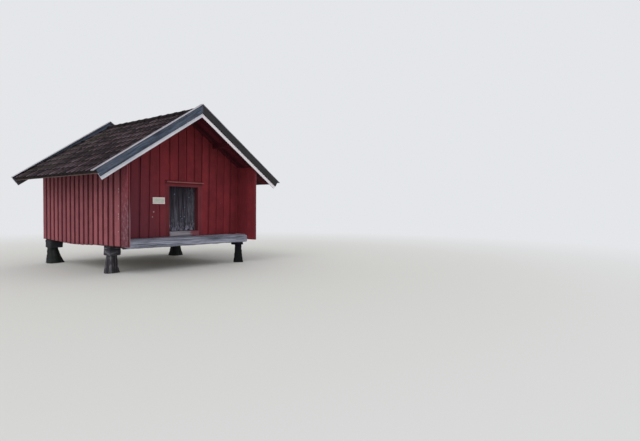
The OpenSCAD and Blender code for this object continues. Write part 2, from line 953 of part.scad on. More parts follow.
// Strap hinge: a flat strap with an eye that turns on the pin
module hinge_strap(z) {
  translate([0, 0, z])
    difference() {
      union() {
        translate([pin_x, pin_y, 0]) cylinder(r = eye_r, h = strap_h, $fn = 48);
        box([pin_x, room_front_y, 0], [leaf_l + strap_l, room_front_y + strap_t, strap_h]);
        box([pin_x, room_front_y, 0], [pin_x + strap_t, pin_y, strap_h]);
      }
      translate([pin_x, pin_y, -1]) cylinder(r = pin_r + pin_clear, h = strap_h + 2, $fn = 48);
    }
}
module hinge_straps() {
  color(iron) for (z = strap_zs) hinge_strap(z);
}

// Hinge hook: the pin with a shoulder under the eye, on a plate on the wall logs
module hinge_hook(z) {
  wall = room_front_y - pin_y;
  edge = hole_l - pin_x;
  translate([pin_x, pin_y, z - shoulder_h - shoulder_gap]) {
    cylinder(r = pin_r, h = strap_h + shoulder_h + pin_r, $fn = 48);
    cylinder(r = eye_r, h = shoulder_h, $fn = 48);
    box([-hook_plate, wall, -hook_plate / 2], [edge, wall + strap_t, shoulder_h]);
    box([-eye_r, wall, 0], [edge, 0, shoulder_h]);
  }
}
module hinge_hooks() {
  color(iron) for (z = strap_zs) hinge_hook(z);
}

front_posts();
rear_posts();
post_caps();
side_sills();
cross_sills();
floor_joists();
floor();
porch_beam();
threshold();
left_wall();
right_wall();
rear_wall();
rear_gable();
front_wall_left();
front_wall_right();
front_gable();
cladding_left();
cladding_right();
cladding_rear();
cladding_front_left();
cladding_front_right();
cladding_front_over();
wing_linings();
corner_boards();
ridge_purlin();
side_purlins();
roof_boards_left();
roof_boards_right();
tile_battens();
tiles_left();
tiles_right();
ridge_tiles();
eave_boards();
barge_boards_white();
barge_boards_grey();
verge_caps();
door_casings();
drip_board();
door_linings();
sign_plate();
door_leaf();
door_ledges();
hinge_straps();
hinge_hooks();
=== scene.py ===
"""Raised granary: boards, tiles, posts, door and finishes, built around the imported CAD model."""

import math

import bmesh
import bpy
import numpy as np
from bpy.props import FloatProperty, FloatVectorProperty, IntProperty, PointerProperty
from mathutils import Matrix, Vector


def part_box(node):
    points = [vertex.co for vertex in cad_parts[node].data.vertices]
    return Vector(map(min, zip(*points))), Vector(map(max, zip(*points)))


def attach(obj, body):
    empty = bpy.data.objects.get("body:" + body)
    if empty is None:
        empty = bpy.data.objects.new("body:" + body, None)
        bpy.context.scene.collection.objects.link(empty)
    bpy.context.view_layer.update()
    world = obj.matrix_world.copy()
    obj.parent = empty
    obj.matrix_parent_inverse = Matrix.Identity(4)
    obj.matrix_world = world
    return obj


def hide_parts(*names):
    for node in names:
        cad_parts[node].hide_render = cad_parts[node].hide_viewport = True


bl_info = {
    "name": "Raised Granary",
    "version": (1, 0, 0),
    "blender": (4, 5, 0),
    "location": "View3D > Sidebar > Granary",
    "description": "Boards, tiles, posts, door and finishes of a small log granary on posts",
    "category": "Object",
}

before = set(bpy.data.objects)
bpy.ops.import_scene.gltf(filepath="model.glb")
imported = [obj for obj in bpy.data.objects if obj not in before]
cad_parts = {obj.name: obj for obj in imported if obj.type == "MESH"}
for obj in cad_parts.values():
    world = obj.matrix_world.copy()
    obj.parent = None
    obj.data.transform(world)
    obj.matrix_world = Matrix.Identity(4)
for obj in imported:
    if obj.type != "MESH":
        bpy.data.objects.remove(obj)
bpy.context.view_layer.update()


def box(node):
    """Lowest and highest corner of a CAD node, as one numpy array in metres."""
    return np.array(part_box(node))


def srgb(text):
    """Linear colour of an sRGB hex value: a power of 2.4 above the short straight start of the curve."""
    values = [int(text[i:i + 2], 16) / 255 for i in (1, 3, 5)]
    return [v / 12.92 if v <= 0.04045 else ((v + 0.055) / 1.055) ** 2.4 for v in values]


# Kinds of properties
def length(name, description, default):
    return FloatProperty(name=name, description=description, default=default, unit="LENGTH", min=0)


def angle(name, description, degrees):
    return FloatProperty(name=name, description=description, default=math.radians(degrees), subtype="ANGLE")


def several(name, description, default, **more):
    return FloatVectorProperty(name=name, description=description, size=len(default), default=default, **more)


def four(name, description, *default):
    return several(name, description, default, unit="LENGTH")


def colour(name, description, text):
    return several(name, description, srgb(text), subtype="COLOR", min=0, max=1)


class GranaryWalls(bpy.types.PropertyGroup):
    side_pitch: length("Side pitch", "Spacing of the over boards on the side and rear walls", 0.260)
    side_over: length("Side over board", "Width of the over boards on the side and rear walls", 0.165)
    rear_corner: length("Rear corner board", "Width of the first over board at a rear corner", 0.192)
    front_pitch: length("Front pitch", "Spacing of the over boards on the front wall", 0.270)
    front_over: length("Front over board", "Width of the over boards on the front wall", 0.210)
    front_shift: length("Front shift", "How far right of the doorway's middle the front boards start", 0.062)
    under_t: length("Under board", "Thickness of the under boards", 0.022)
    over_t: length("Over board", "Thickness of the over boards", 0.023)
    corner_w: length("Corner board", "Width of the outer board at a front corner", 0.290)
    corner_gap: length("Corner groove", "Groove behind the outer board at a front corner", 0.080)
    skirt_dip: length("Dip", "How much lower the side boards reach halfway along the wall", 0.060)
    lining_w: length("Lining board", "Width of the boards inside the wing walls", 0.160)
    floor_w: length("Floor board", "Width of the floor boards", 0.210)


class GranaryRoof(bpy.types.PropertyGroup):
    pitch: angle("Pitch", "Slope of the settled roof", 32.5)
    front_lift: angle("Front verge lift", "How much steeper the front verge boards stand", 1)
    rear_lift: angle("Rear verge lift", "How much steeper the rear verge boards stand", 2)
    eave_out: length("Eave reach", "Reach of the roof beyond the side walls", 0.736)
    soffit_w: length("Roof board", "Width of the roof boards", 0.172)
    board_t: length("Roof board thickness", "Thickness of the roof boards", 0.025)
    batten_h: length("Batten height", "Height of the tile battens", 0.025)
    eave_t: length("Eave board", "Thickness of the eave boards", 0.028)
    eave_back: length("Tile reach", "How far the tiles run past the eave boards", 0.034)
    course: length("Course", "Spacing of the tile courses up the slope", 0.330)
    lap: length("Lap", "How far a tile laps over the tile below", 0.070)
    tile_w: length("Tile width", "Width of one tile column", 0.247)
    tile_wave: length("Roll height", "Height of the rolls of the tiles", 0.034)
    tile_t: length("Tile thickness", "Thickness of a tile", 0.016)
    roll_power: FloatProperty(name="Roll shape", description="An even wave at 1, narrower above", default=1.5)
    ridge_r: length("Ridge tile radius", "Outer radius of the ridge tiles", 0.105)
    ridge_count: IntProperty(name="Ridge tiles", description="Number of ridge tiles", default=13, min=1)
    white_drop: length("White board drop", "How far the white board hangs below the roof boards", 0.141)
    white_seen: length("White board seen", "Visible width of the white board", 0.084)
    grey_w: length("Grey board", "Width of the grey upper board", 0.186)
    verge_t: length("Verge board", "Thickness of the verge boards", 0.027)
    cap_w: length("Cap board", "Width of the cap boards", 0.120)
    cap_t: length("Cap board thickness", "Thickness of the cap boards", 0.025)
    front_past: length("Front cap reach", "How far the front cap boards run past the grey boards", 0.085)
    rear_past: length("Rear cap reach", "How far the rear cap boards run past the grey boards", 0.010)


class GranaryPosts(bpy.types.PropertyGroup):
    back: four("Places", "How far each post stands behind the front edge", 1.12, 0.63, 4.56, 3.87)
    height: four("Heights", "Height of each post under its cap", 0.445, 0.540, 0.455, 0.460)
    neck: four("Necks", "Radius of each post at its neck", 0.130, 0.097, 0.143, 0.155)
    flare: four("Flares", "How far the foot of each post flares out", 0.060, 0.046, 0.100, 0.085)
    cap: four("Caps", "Width of each cap block", 0.320, 0.285, 0.370, 0.370)
    foot: four("Foot shift", "How far each post stands towards the rear left", 0.030, -0.030, 0, 0)
    lean: four("Lean", "How far each post's top leans on towards the rear left", -0.020, 0, 0.048, 0)


class GranaryBeam(bpy.types.PropertyGroup):
    brow_y: length("Brow depth", "Depth of the rounded brow", 0.180)
    brow_z: length("Brow height", "Height of the rounded brow", 0.075)
    foot: length("Foot", "Bevel under the front", 0.028)
    belly: length("Belly", "How far the front hangs below the sills", 0.050)
    belly_w: length("Belly width", "Width of the belly", 0.140)


class GranaryColours(bpy.types.PropertyGroup):
    side_red: colour("Side paint", "Sun-faded red paint of the side and rear boards", "#9a5b62")
    side_dark: colour("Side paint, dark", "The same paint where rain has kept it dark", "#834a52")
    front_red: colour("Front paint", "Red paint in the shelter of the porch", "#883138")
    front_dark: colour("Front paint, dark", "The same paint where it is dull", "#6b262d")
    grey_wood: colour("Bare wood", "Bare pine weathered silver grey", "#8d8a8c")
    grey_dark: colour("Bare wood, dark", "Cracks and grain of the weathered pine", "#4b484b")
    white: colour("White paint", "White paint of the lower verge boards", "#e4e4ec")
    tile: colour("Tile", "Fired clay of the tiles", "#3b2c2f")
    tile_dark: colour("Tile, dark", "Tiles darkened by soot and algae", "#1c161a")
    moss: colour("Moss", "Moss and lichen", "#3a3d2c")
    iron: colour("Iron", "Forged iron with a skin of rust", "#3a3331")
    floor: colour("Stage floor", "Pale floor of the stage", "#cfcfcc")
    backdrop: colour("Backdrop", "What the camera sees beyond the floor", "#e4e6e9")


class GranaryStage(bpy.types.PropertyGroup):
    place: several("Camera place", "The photographer's eye", (-7.960, -12.917, 1.660), unit="LENGTH")
    turn: several("Camera turn", "Yaw, pitch and roll of the camera",
                  [math.radians(a) for a in (-51.21, -1.42, 0.34)], subtype="EULER")
    lens: FloatProperty(name="Lens", description="Focal length on a 36 mm sensor, in mm", default=26.7075)
    sky: FloatProperty(name="Sky", description="Strength of the even light all round", default=0.80)
    sun: FloatProperty(name="Key light", description="Strength of the soft light from the left", default=1.1)
    fade: several("Floor fade", "Distances where the floor's fading starts and ends", (6, 22), unit="LENGTH")


GROUPS = {
    "granary_walls": GranaryWalls,
    "granary_roof": GranaryRoof,
    "granary_posts": GranaryPosts,
    "granary_beam": GranaryBeam,
    "granary_colours": GranaryColours,
    "granary_stage": GranaryStage,
}


def prop(group):
    """The sizes or colours of one group, as they are set in the scene."""
    return getattr(bpy.context.scene, "granary_" + group)


# Places from the frame
FRONT_Y, REAR_Y = box("cladding_left")[:, 1]
LOG_X, SIDE_X = box("cladding_right")[:, 0]
LINING_X = box("cladding_front_right")[1][0]
FACE_Y, LOG_FRONT_Y = box("cladding_front_over")[:, 1]
SKIRT_Z, PORCH_Z, SILL_Z, EAVE_Z, DRIP_Z = (
    box(node)[0][2]
    for node in ("corner_boards", "cladding_front_left", "side_sills", "eave_boards", "drip_board")
)
APEX_Z = box("ridge_purlin")[1][2]
DECK_Y = box("roof_boards_right")[1][1]
HOLE_LOW, HOLE_HIGH = box("door_linings")
# Thickness of the linings of the doorway
JAMB = 0.030
# How much weathered boards keep inside the faces of their CAD solids
SHY = 0.003
# Distance kept between faces that would touch, gap between planed boards and between under boards
HAIR, GAP, UNDER_GAP = 0.001, 0.003, 0.004
RIGHT, BACK, UP = (1, 0, 0), (0, 1, 0), (0, 0, 1)
LEFT, FRONT, DOWN = (-1, 0, 0), (0, -1, 0), (0, 0, -1)


def wobble(shape, along, size, rng):
    """Smooth noise along a line: the mean of four sines of random wavelength round size and random phase."""
    waves = 4
    phase = rng.uniform(0, 2 * math.pi, (waves,) + shape)
    pace = 2 * math.pi / (size * rng.uniform(0.5, 1.8, (waves,) + shape))
    return np.sin(pace[..., None] * along + phase[..., None]).mean(0)


def ripple(points, size, seed):
    """Smooth noise in space: the sum of sines along random directions, each with a random phase, scaled so
    that it mostly lies between minus one and one. size is about the width of one bump."""
    waves = 14
    rng = np.random.default_rng(seed)
    ways = rng.normal(size=(waves, 3))
    ways *= (math.pi / size * rng.uniform(0.6, 1.5, waves) / np.linalg.norm(ways, axis=1))[:, None]
    phase = rng.uniform(0, 2 * math.pi, waves)
    return np.sin(points @ ways.T + phase).sum(-1) / math.sqrt(waves)


def stacked(*parts):
    """Arrays spread to one shape and stacked as its last axis."""
    return np.stack(np.broadcast_arrays(*parts), -1)


def round_turn(count):
    """Angles evenly round a circle."""
    return np.linspace(0, 2 * math.pi, count, endpoint=False)


class Skin:
    """Closed rings carried along stations: points[shape, station, ring place], with a grain coordinate
    (across, along, tone) and a wear value at each point. Ends are closed by one face, or by a strip of
    quads for a ring that is a thin sheet folded back on itself."""

    def __init__(self, points, grain, wear, sheet=False):
        self.points, self.grain, self.wear, self.sheet = points, grain, wear, sheet

    def faces(self, first):
        """Quads between neighbouring stations and ring places, and the ends. Points count from first."""
        index = first + np.arange(self.wear.size).reshape(self.wear.shape)
        turned = np.roll(index, -1, axis=2)
        sides = np.stack([index[:, :-1], turned[:, :-1], turned[:, 1:], index[:, 1:]], -1)
        sides = sides.reshape(-1, 4).tolist()
        if not self.sheet:
            return sides + index[:, 0, ::-1].tolist() + index[:, -1].tolist()
        half = index.shape[2] // 2
        out, back = index[:, :, :half], index[:, :, :half - 1:-1]
        ends = [
            np.stack([out[:, 0, 1:], out[:, 0, :-1], back[:, 0, :-1], back[:, 0, 1:]], -1),
            np.stack([out[:, -1, :-1], out[:, -1, 1:], back[:, -1, 1:], back[:, -1, :-1]], -1),
        ]
        return sides + np.concatenate(ends).reshape(-1, 4).tolist()


def folded(points, grain, wear):
    """The skin of a thin sheet whose ring is given out and back."""
    return Skin(*(values[:, :, ::-1] for values in (points, grain, wear)), sheet=True)


def solid(points, across, along):
    """The skin of one shape with a middle tone and no wear, points[station, ring place]."""
    return Skin(points[None], stacked(across, along, 0.5)[None], np.zeros((1, *points.shape[:2])))


def linked(name, data):
    """A new object in the scene."""
    made = bpy.data.objects.new(name, data)
    bpy.context.scene.collection.objects.link(made)
    return made


def present(name, mesh, grain, wear, surface, replaced, body, crease=32):
    """Gives a mesh its grain, wear and finish, as an object that rides on a body and stands for CAD nodes."""
    for key, kind, field, values in (
        ("grain", "FLOAT_VECTOR", "vector", grain), ("wear", "FLOAT", "value", wear)
    ):
        mesh.attributes.new(key, kind, "POINT").data.foreach_set(field, values.astype(np.float32).ravel())
    mesh.update()
    mesh.shade_smooth()
    mesh.set_sharp_from_angle(angle=math.radians(crease))
    plain(mesh, surface)
    made = linked(name, mesh)
    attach(made, body)
    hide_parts(*replaced)
    return made


def make(name, skins, surface, replaced=(), body="granary", crease=32):
    """One object from skins, with its finish, that rides on a body and stands for CAD nodes."""
    faces, count = [], 0
    for skin in skins:
        faces += skin.faces(count)
        count += skin.wear.size
    points, grain, wear = (
        np.concatenate([getattr(skin, key).reshape(-1, wide) for skin in skins])
        for key, wide in (("points", 3), ("grain", 3), ("wear", 1))
    )
    mesh = bpy.data.meshes.new(name)
    mesh.from_pydata(points, [], faces)
    present(name, mesh, grain, wear, surface, replaced, body, crease)


def dressed(node, run, bevel, name, surface, body="granary"):
    """A merged copy of a CAD node with softened edges, in the place of the node. Its grain runs along one
    axis (0, 1 or 2)."""
    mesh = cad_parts[node].data.copy()
    shape = bmesh.new()
    shape.from_mesh(mesh)
    bmesh.ops.remove_doubles(shape, verts=shape.verts, dist=1e-5)
    bmesh.ops.dissolve_limit(shape, angle_limit=math.radians(0.5), verts=shape.verts, edges=shape.edges)
    shape.to_mesh(mesh)
    shape.free()
    places = np.zeros((len(mesh.vertices), 3), np.float32)
    mesh.vertices.foreach_get("co", places.ravel())
    grain = stacked(np.delete(places, run, 1).sum(1), places[:, run], 0.5)
    made = present(name, mesh, grain, np.zeros(len(places)), surface, [node], body)
    if bevel:
        soft = made.modifiers.new("soft_edges", "BEVEL")
        soft.width, soft.segments, soft.limit_method = bevel, 2, "ANGLE"


def plain(mesh, surface):
    """Gives a mesh that keeps its shape its finish."""
    mesh.materials.clear()
    mesh.materials.append(finish(surface))


# One plank's section, from the middle of its back round its front: side, share of the bevel taken off the
# width, level from back (0) to face (1), and bevels above that level
PLANK_RING = np.array([
    (0, 0, 0, 0), (1, 1, 0, 0), (1, 0, 0, 1), (1, 0, 1, -1), (1, 1, 1, 0), (0.86, 1, 1, 0),
    (0, 0, 1, 0), (-0.86, 1, 1, 0), (-1, 1, 1, 0), (-1, 0, 1, -1), (-1, 0, 0, 1), (-1, 1, 0, 0),
]).T


def planks(normal, run, spans, back, thick, start, end, seed, origin=(0, 0, 0), bevel=0.003, warp=0.0012,
           steps=9, lean=0.0, trim=None):
    """Planks as bevelled sections carried along run, with their faces towards normal. spans are their low
    and high edges on the line across them, in the sense in which its main axis grows, and their backs lie
    at back. start and end are lengths along run, or functions of a section point's place across and height.
    Edges and face wander along the plank as smooth noise, and a face is slightly hollow. lean is how far a
    plank moves across for each metre short of its end, and trim(across, along) cuts its edges."""
    rng = np.random.default_rng(seed)
    normal, run = np.array(normal, float), np.array(run, float)
    across = np.cross(normal, run)
    way = np.sign(across[np.abs(across).argmax()])
    low, high = np.array(spans, float).T[..., None]
    side, share, level, lift = PLANK_RING
    a = way * (low + high) / 2 + side * (high - low) / 2 - share * bevel * np.sign(side)
    h = np.zeros_like(a) + (back + level * thick + lift * bevel)
    lows, highs = (
        limit(way * a, h) if callable(limit) else np.zeros_like(a) + np.reshape(limit, (-1, 1))
        for limit in (start, end)
    )
    t = np.linspace(0, 1, steps)[None, :, None]
    s = lows[:, None] + t * (highs - lows)[:, None]
    line = s[:, :, 0]
    left, right, face = (warp * wobble((len(a),), line, size, rng)[..., None] for size in (0.9, 0.9, 0.6))
    a3 = a[:, None] + np.where(side > 0, right, np.where(side < 0, left, 0))
    a3 = a3 + np.reshape(lean, (-1, 1, 1)) * (highs[:, None] - s)
    if trim:
        a3 = way * trim(way * a3, s)
    hollow = 0.5 * warp * (side == 0) * (level > 0)
    h3 = h[:, None] + (level > 0) * face - hollow
    points = np.array(origin) + a3[..., None] * across + h3[..., None] * normal + s[..., None] * run
    around = np.cumsum(np.hypot(*(np.diff(values, axis=1, prepend=values[:, :1]) for values in (a, h))), 1)
    shift = rng.uniform(0, 40, (len(a), 1, 1))
    tone = rng.uniform(0, 1, (len(a), 1, 1))
    edge = (np.abs(side) == 1) * (level > 0) * 1.0
    return Skin(points, stacked(around[:, None] + shift, s + shift, tone), np.broadcast_to(edge, s.shape))


def spread(low, high, width, gap):
    """Low and high edges of the planks that fill low to high, each about width wide, gap apart."""
    count = max(1, round((high - low) / width))
    each = (high - low) / count
    return [(low + k * each + gap / 2, low + (k + 1) * each - gap / 2) for k in range(count)]


# Slope helpers: s runs down the slope from the ridge line, n stands off the underside of the roof boards
def slope_axes(side, lift=0.0):
    """Unit vectors down the slope and out of it, on the left (-1) or right (1) side."""
    p = prop("roof").pitch + lift
    return np.array([side * math.cos(p), 0, -math.sin(p)]), np.array([side * math.sin(p), 0, math.cos(p)])


def slope_length(lift=0.0):
    """Length of a slope: the roof's reach from the middle, divided by the cosine of the pitch."""
    roof = prop("roof")
    return (SIDE_X + roof.eave_out) / math.cos(roof.pitch + lift)


def roof_line(a, h):
    """Height of the underside of the roof boards over a point a from the middle."""
    return APEX_Z - np.abs(a) * math.tan(prop("roof").pitch) - SHY


def wall_top(way):
    """Height of the roof boards over a side wall's face that looks away from (1) or to (-1) the middle."""
    slope = math.tan(prop("roof").pitch)
    return lambda a, h: APEX_Z - way * h * slope - SHY


# Materials
def ink(colour, share=1.0):
    """A hex value or a colour property by its name, made linear and times share, as a socket takes it."""
    values = srgb(colour) if colour[0] == "#" else getattr(prop("colours"), colour)
    return (*(v * share for v in values), 1.0)


def add(tree, kind, inputs=None, out=0, **settings):
    """Adds one node with its settings and its inputs, linking those that are sockets, and returns one of
    its output sockets."""
    made = tree.nodes.new(kind)
    for key, value in settings.items():
        setattr(made, key, value)
    for key, value in (inputs or {}).items():
        if isinstance(value, bpy.types.NodeSocket):
            tree.links.new(value, made.inputs[key])
        else:
            made.inputs[key].default_value = value
    return made.outputs[out]


def weighted(tree, patterns, shares):
    """The sum of patterns, each times its share. shares is text: a pattern's name, its share, and so on."""
    words = shares.split()
    total = 0.0
    for key, share in zip(words[::2], words[1::2]):
        total = add(tree, "ShaderNodeMath", {0: patterns[key], 1: float(share), 2: total},
                    operation="MULTIPLY_ADD")
    return total


def coats(tree, base, patterns, layers):
    """Lays colours over a base one after another. A layer (shares, bare, full, most, tint) covers more as its
    weighted pattern goes from bare to full, as a smooth step from nothing to most. A base or tint is a
    text as ink takes it, a linear colour or a socket."""
    for shares, bare, full, most, tint in layers:
        cover = add(tree, "ShaderNodeMapRange", {
            "Value": weighted(tree, patterns, shares), "From Min": bare, "From Max": full, "To Max": most,
        }, interpolation_type="SMOOTHSTEP")
        base, tint = (ink(c) if isinstance(c, str) else c for c in (base, tint))
        base = add(tree, "ShaderNodeMix", {0: cover, 6: base, 7: tint}, out=2, data_type="RGBA")
    return base


def new_surface(name, carried=True):
    """An empty material and its patterns: the coordinates, how far a point is from the middle along Y, noises
    with bumps 450, 90 and 11 mm wide, and what a piece carries itself: its grain coordinates, the first of
    which is the nose of a tile, its tone and its wear. For a piece that carries none of these it is the
    place, a middle tone and no wear."""
    made = bpy.data.materials.new(name)
    made.use_nodes = True
    tree = made.node_tree
    place = add(tree, "ShaderNodeTexCoord", out=3)
    patterns = {"place": place, "own": place, "tone": 0.5, "worn": 0.0, "one": 1.0}
    parts = [("x", place, 0), ("y", place, 1), ("z", place, 2)]
    if carried:
        patterns["own"] = add(tree, "ShaderNodeAttribute", out=1, attribute_name="grain")
        patterns["worn"] = add(tree, "ShaderNodeAttribute", out=2, attribute_name="wear")
        parts += [("nose", patterns["own"], 0), ("tone", patterns["own"], 2)]
    for key, whole, i in parts:
        patterns[key] = add(tree, "ShaderNodeSeparateXYZ", {0: whole}, out=i)
    patterns["away"] = add(tree, "ShaderNodeMath", {0: patterns["y"]}, operation="ABSOLUTE")
    for key, width in (("patch", 0.45), ("blotch", 0.09), ("grit", 0.011)):
        patterns[key] = add(tree, "ShaderNodeTexNoise", {
            "Vector": place, "Scale": 1 / width, "Detail": 4.0, "Roughness": 0.65})
    return made, tree, patterns


def dressing(tree, patterns, tint, bump, relief, rough, gloss, metal=0.0):
    """Gives the shader its colour, its bump of relief metres, its roughness, its level of gloss, which is low
    where the surface is porous, and its share of metal."""
    height = weighted(tree, patterns, bump)
    normal = add(tree, "ShaderNodeBump", {"Height": height, "Distance": relief, "Strength": 0.7})
    shader = tree.nodes["Principled BSDF"]
    tree.links.new(tint, shader.inputs["Base Color"])
    tree.links.new(normal, shader.inputs["Normal"])
    for key, value in (
        ("Roughness", rough), ("IOR", 1.5), ("Specular IOR Level", gloss), ("Metallic", metal)
    ):
        shader.inputs[key].default_value = value


def wood(name, own, coat=None, lost=0.0, edge=0.0, vary=1.0, grain=0.006, cracks=0.5, along=None,
         relief=0.0012, layers=(), chips=()):
    """Sawn or hewn pine, bare or painted. own is the wood's light and dark colour, coat the paint's, and lost
    is the share of the paint that has gone, with edge more of it on edges. vary is how much boards differ
    from each other. grain is the width of one streak in metres, and along the Object axis of the grain, or
    None for the piece's own grain. layers lie over it all as in coats, and chips are the places of flaked
    spots."""
    carried = along is None
    made, tree, patterns = new_surface(name, carried)
    for key, width, run, detail in (
        ("fine", 1, 45, 3.0), ("broad", 7, 130, 3.0), ("crack", 1.6, 170, 2.0), ("fleck", 3, 9, 2.0)
    ):
        pace = [1 / (grain * (run if i == (1 if carried else along) else width)) for i in range(3)]
        if carried:
            pace[2] = 9.0
        drawn = add(tree, "ShaderNodeMapping", {"Vector": patterns["own"], "Scale": pace})
        patterns[key] = add(tree, "ShaderNodeTexNoise", {
            "Vector": drawn, "Scale": 1.0, "Detail": detail, "Roughness": 0.6})
    near = 9.0
    for spot in chips:
        away = add(tree, "ShaderNodeVectorMath", {0: patterns["place"], 1: spot}, out=1, operation="DISTANCE")
        near = add(tree, "ShaderNodeMath", {0: near, 1: away}, operation="MINIMUM")
    patterns["chip"] = near
    tint = coats(tree, own[1], patterns, [
        ("fine 0.6 broad 0.4", 0.39, 0.60, 1, own[0]), ("crack 1", 0.36, 0.30, cracks, ink(own[1], 0.25))])
    if coat:
        tint = coats(tree, coat[1], patterns, [
            (f"patch 0.55 tone {0.35 * vary}", 0.105 + 0.175 * vary, 0.485 + 0.175 * vary, 1, coat[0]),
            ("fine 1", 0.55, 0.30, 0.28, ink(coat[1], 0.55)),
            (f"fine 0.45 blotch 0.55 worn {edge}", 0.80 - 0.5 * lost, 0.92 - 0.5 * lost, 1, tint),
        ])
    tint = coats(tree, tint, patterns, layers)
    shade = weighted(tree, patterns, f"tone {0.20 * vary} one {0.98 - 0.10 * vary}")
    tint = add(tree, "ShaderNodeHueSaturation", {"Value": shade, "Color": tint})
    dressing(tree, patterns, tint, "fine 0.6 broad 0.5 crack 1", relief, 0.85, 0.15)
    return made


def mineral(name, base, layers, **rest):
    """Fired clay, forged iron or painted tin: layers over a base colour, as in coats."""
    made, tree, patterns = new_surface(name)
    dressing(tree, patterns, coats(tree, base, patterns, layers), **rest)
    return made


# Flaked spots that show as pale dots on the inner corner board, on the front wall and on the door
CORNER_CHIPS = [(-SIDE_X, y, z) for y, z in (
    (-1.952, 2.109), (-1.951, 2.036), (-1.948, 1.698), (-1.943, 1.500), (-1.942, 1.440), (-1.941, 1.390),
    (-1.938, 1.076))]
FRONT_CHIPS = [(x, FACE_Y - off, z) for x, off, z in (
    (-0.923, 0.0, 1.551), (-0.959, 0.0, 1.419), (1.31, 0.022, 1.81), (1.30, 0.022, 1.48))]
DOOR_CHIPS = [(x, box("door_leaf")[0][1], z) for x, z in (
    (-0.17, 2.039), (0.31, 1.965), (0.165, 1.680), (0.15, 1.413), (0.075, 1.359), (0.025, 1.420))]
# What several finishes share: colours as (light, dark), layers as in coats, and arguments of wood
BARE = ("grey_wood", "grey_dark")
# Bare wood darkened as painted shade, for the boards in the gaps and under the roof
BARE_IN_PAINTED_SHADE = ("#4b3c3c", "#2a2021")
SHELTERED = {"own": BARE, "coat": ("front_red", "front_dark"), "lost": 0.02, "edge": 0.06, "vary": 0.45}
FOOT = ("z 1 blotch 0.22", SKIRT_Z + 0.19, SKIRT_Z + 0.03, 0.35, "#4a3533")
CHIP = ("chip 1 blotch 0.03", 0.040, 0.026, 0.8, "#b99a9c")
POST = {"grain": 0.026, "cracks": 0.9, "relief": 0.004}
# Hewn logs that paint and rain have never reached, near black from the porch floor down to the sills as
# painted shade under the building
LOG = {"own": ("#9a8262", "#604a33"), "grain": 0.010, "cracks": 0.8, "relief": 0.003,
       # Near black towards the sills: painted shade under the building
       "layers": [("z 1", PORCH_Z + 0.02, SILL_Z + 0.10, 0.9, "#2c2523")]}
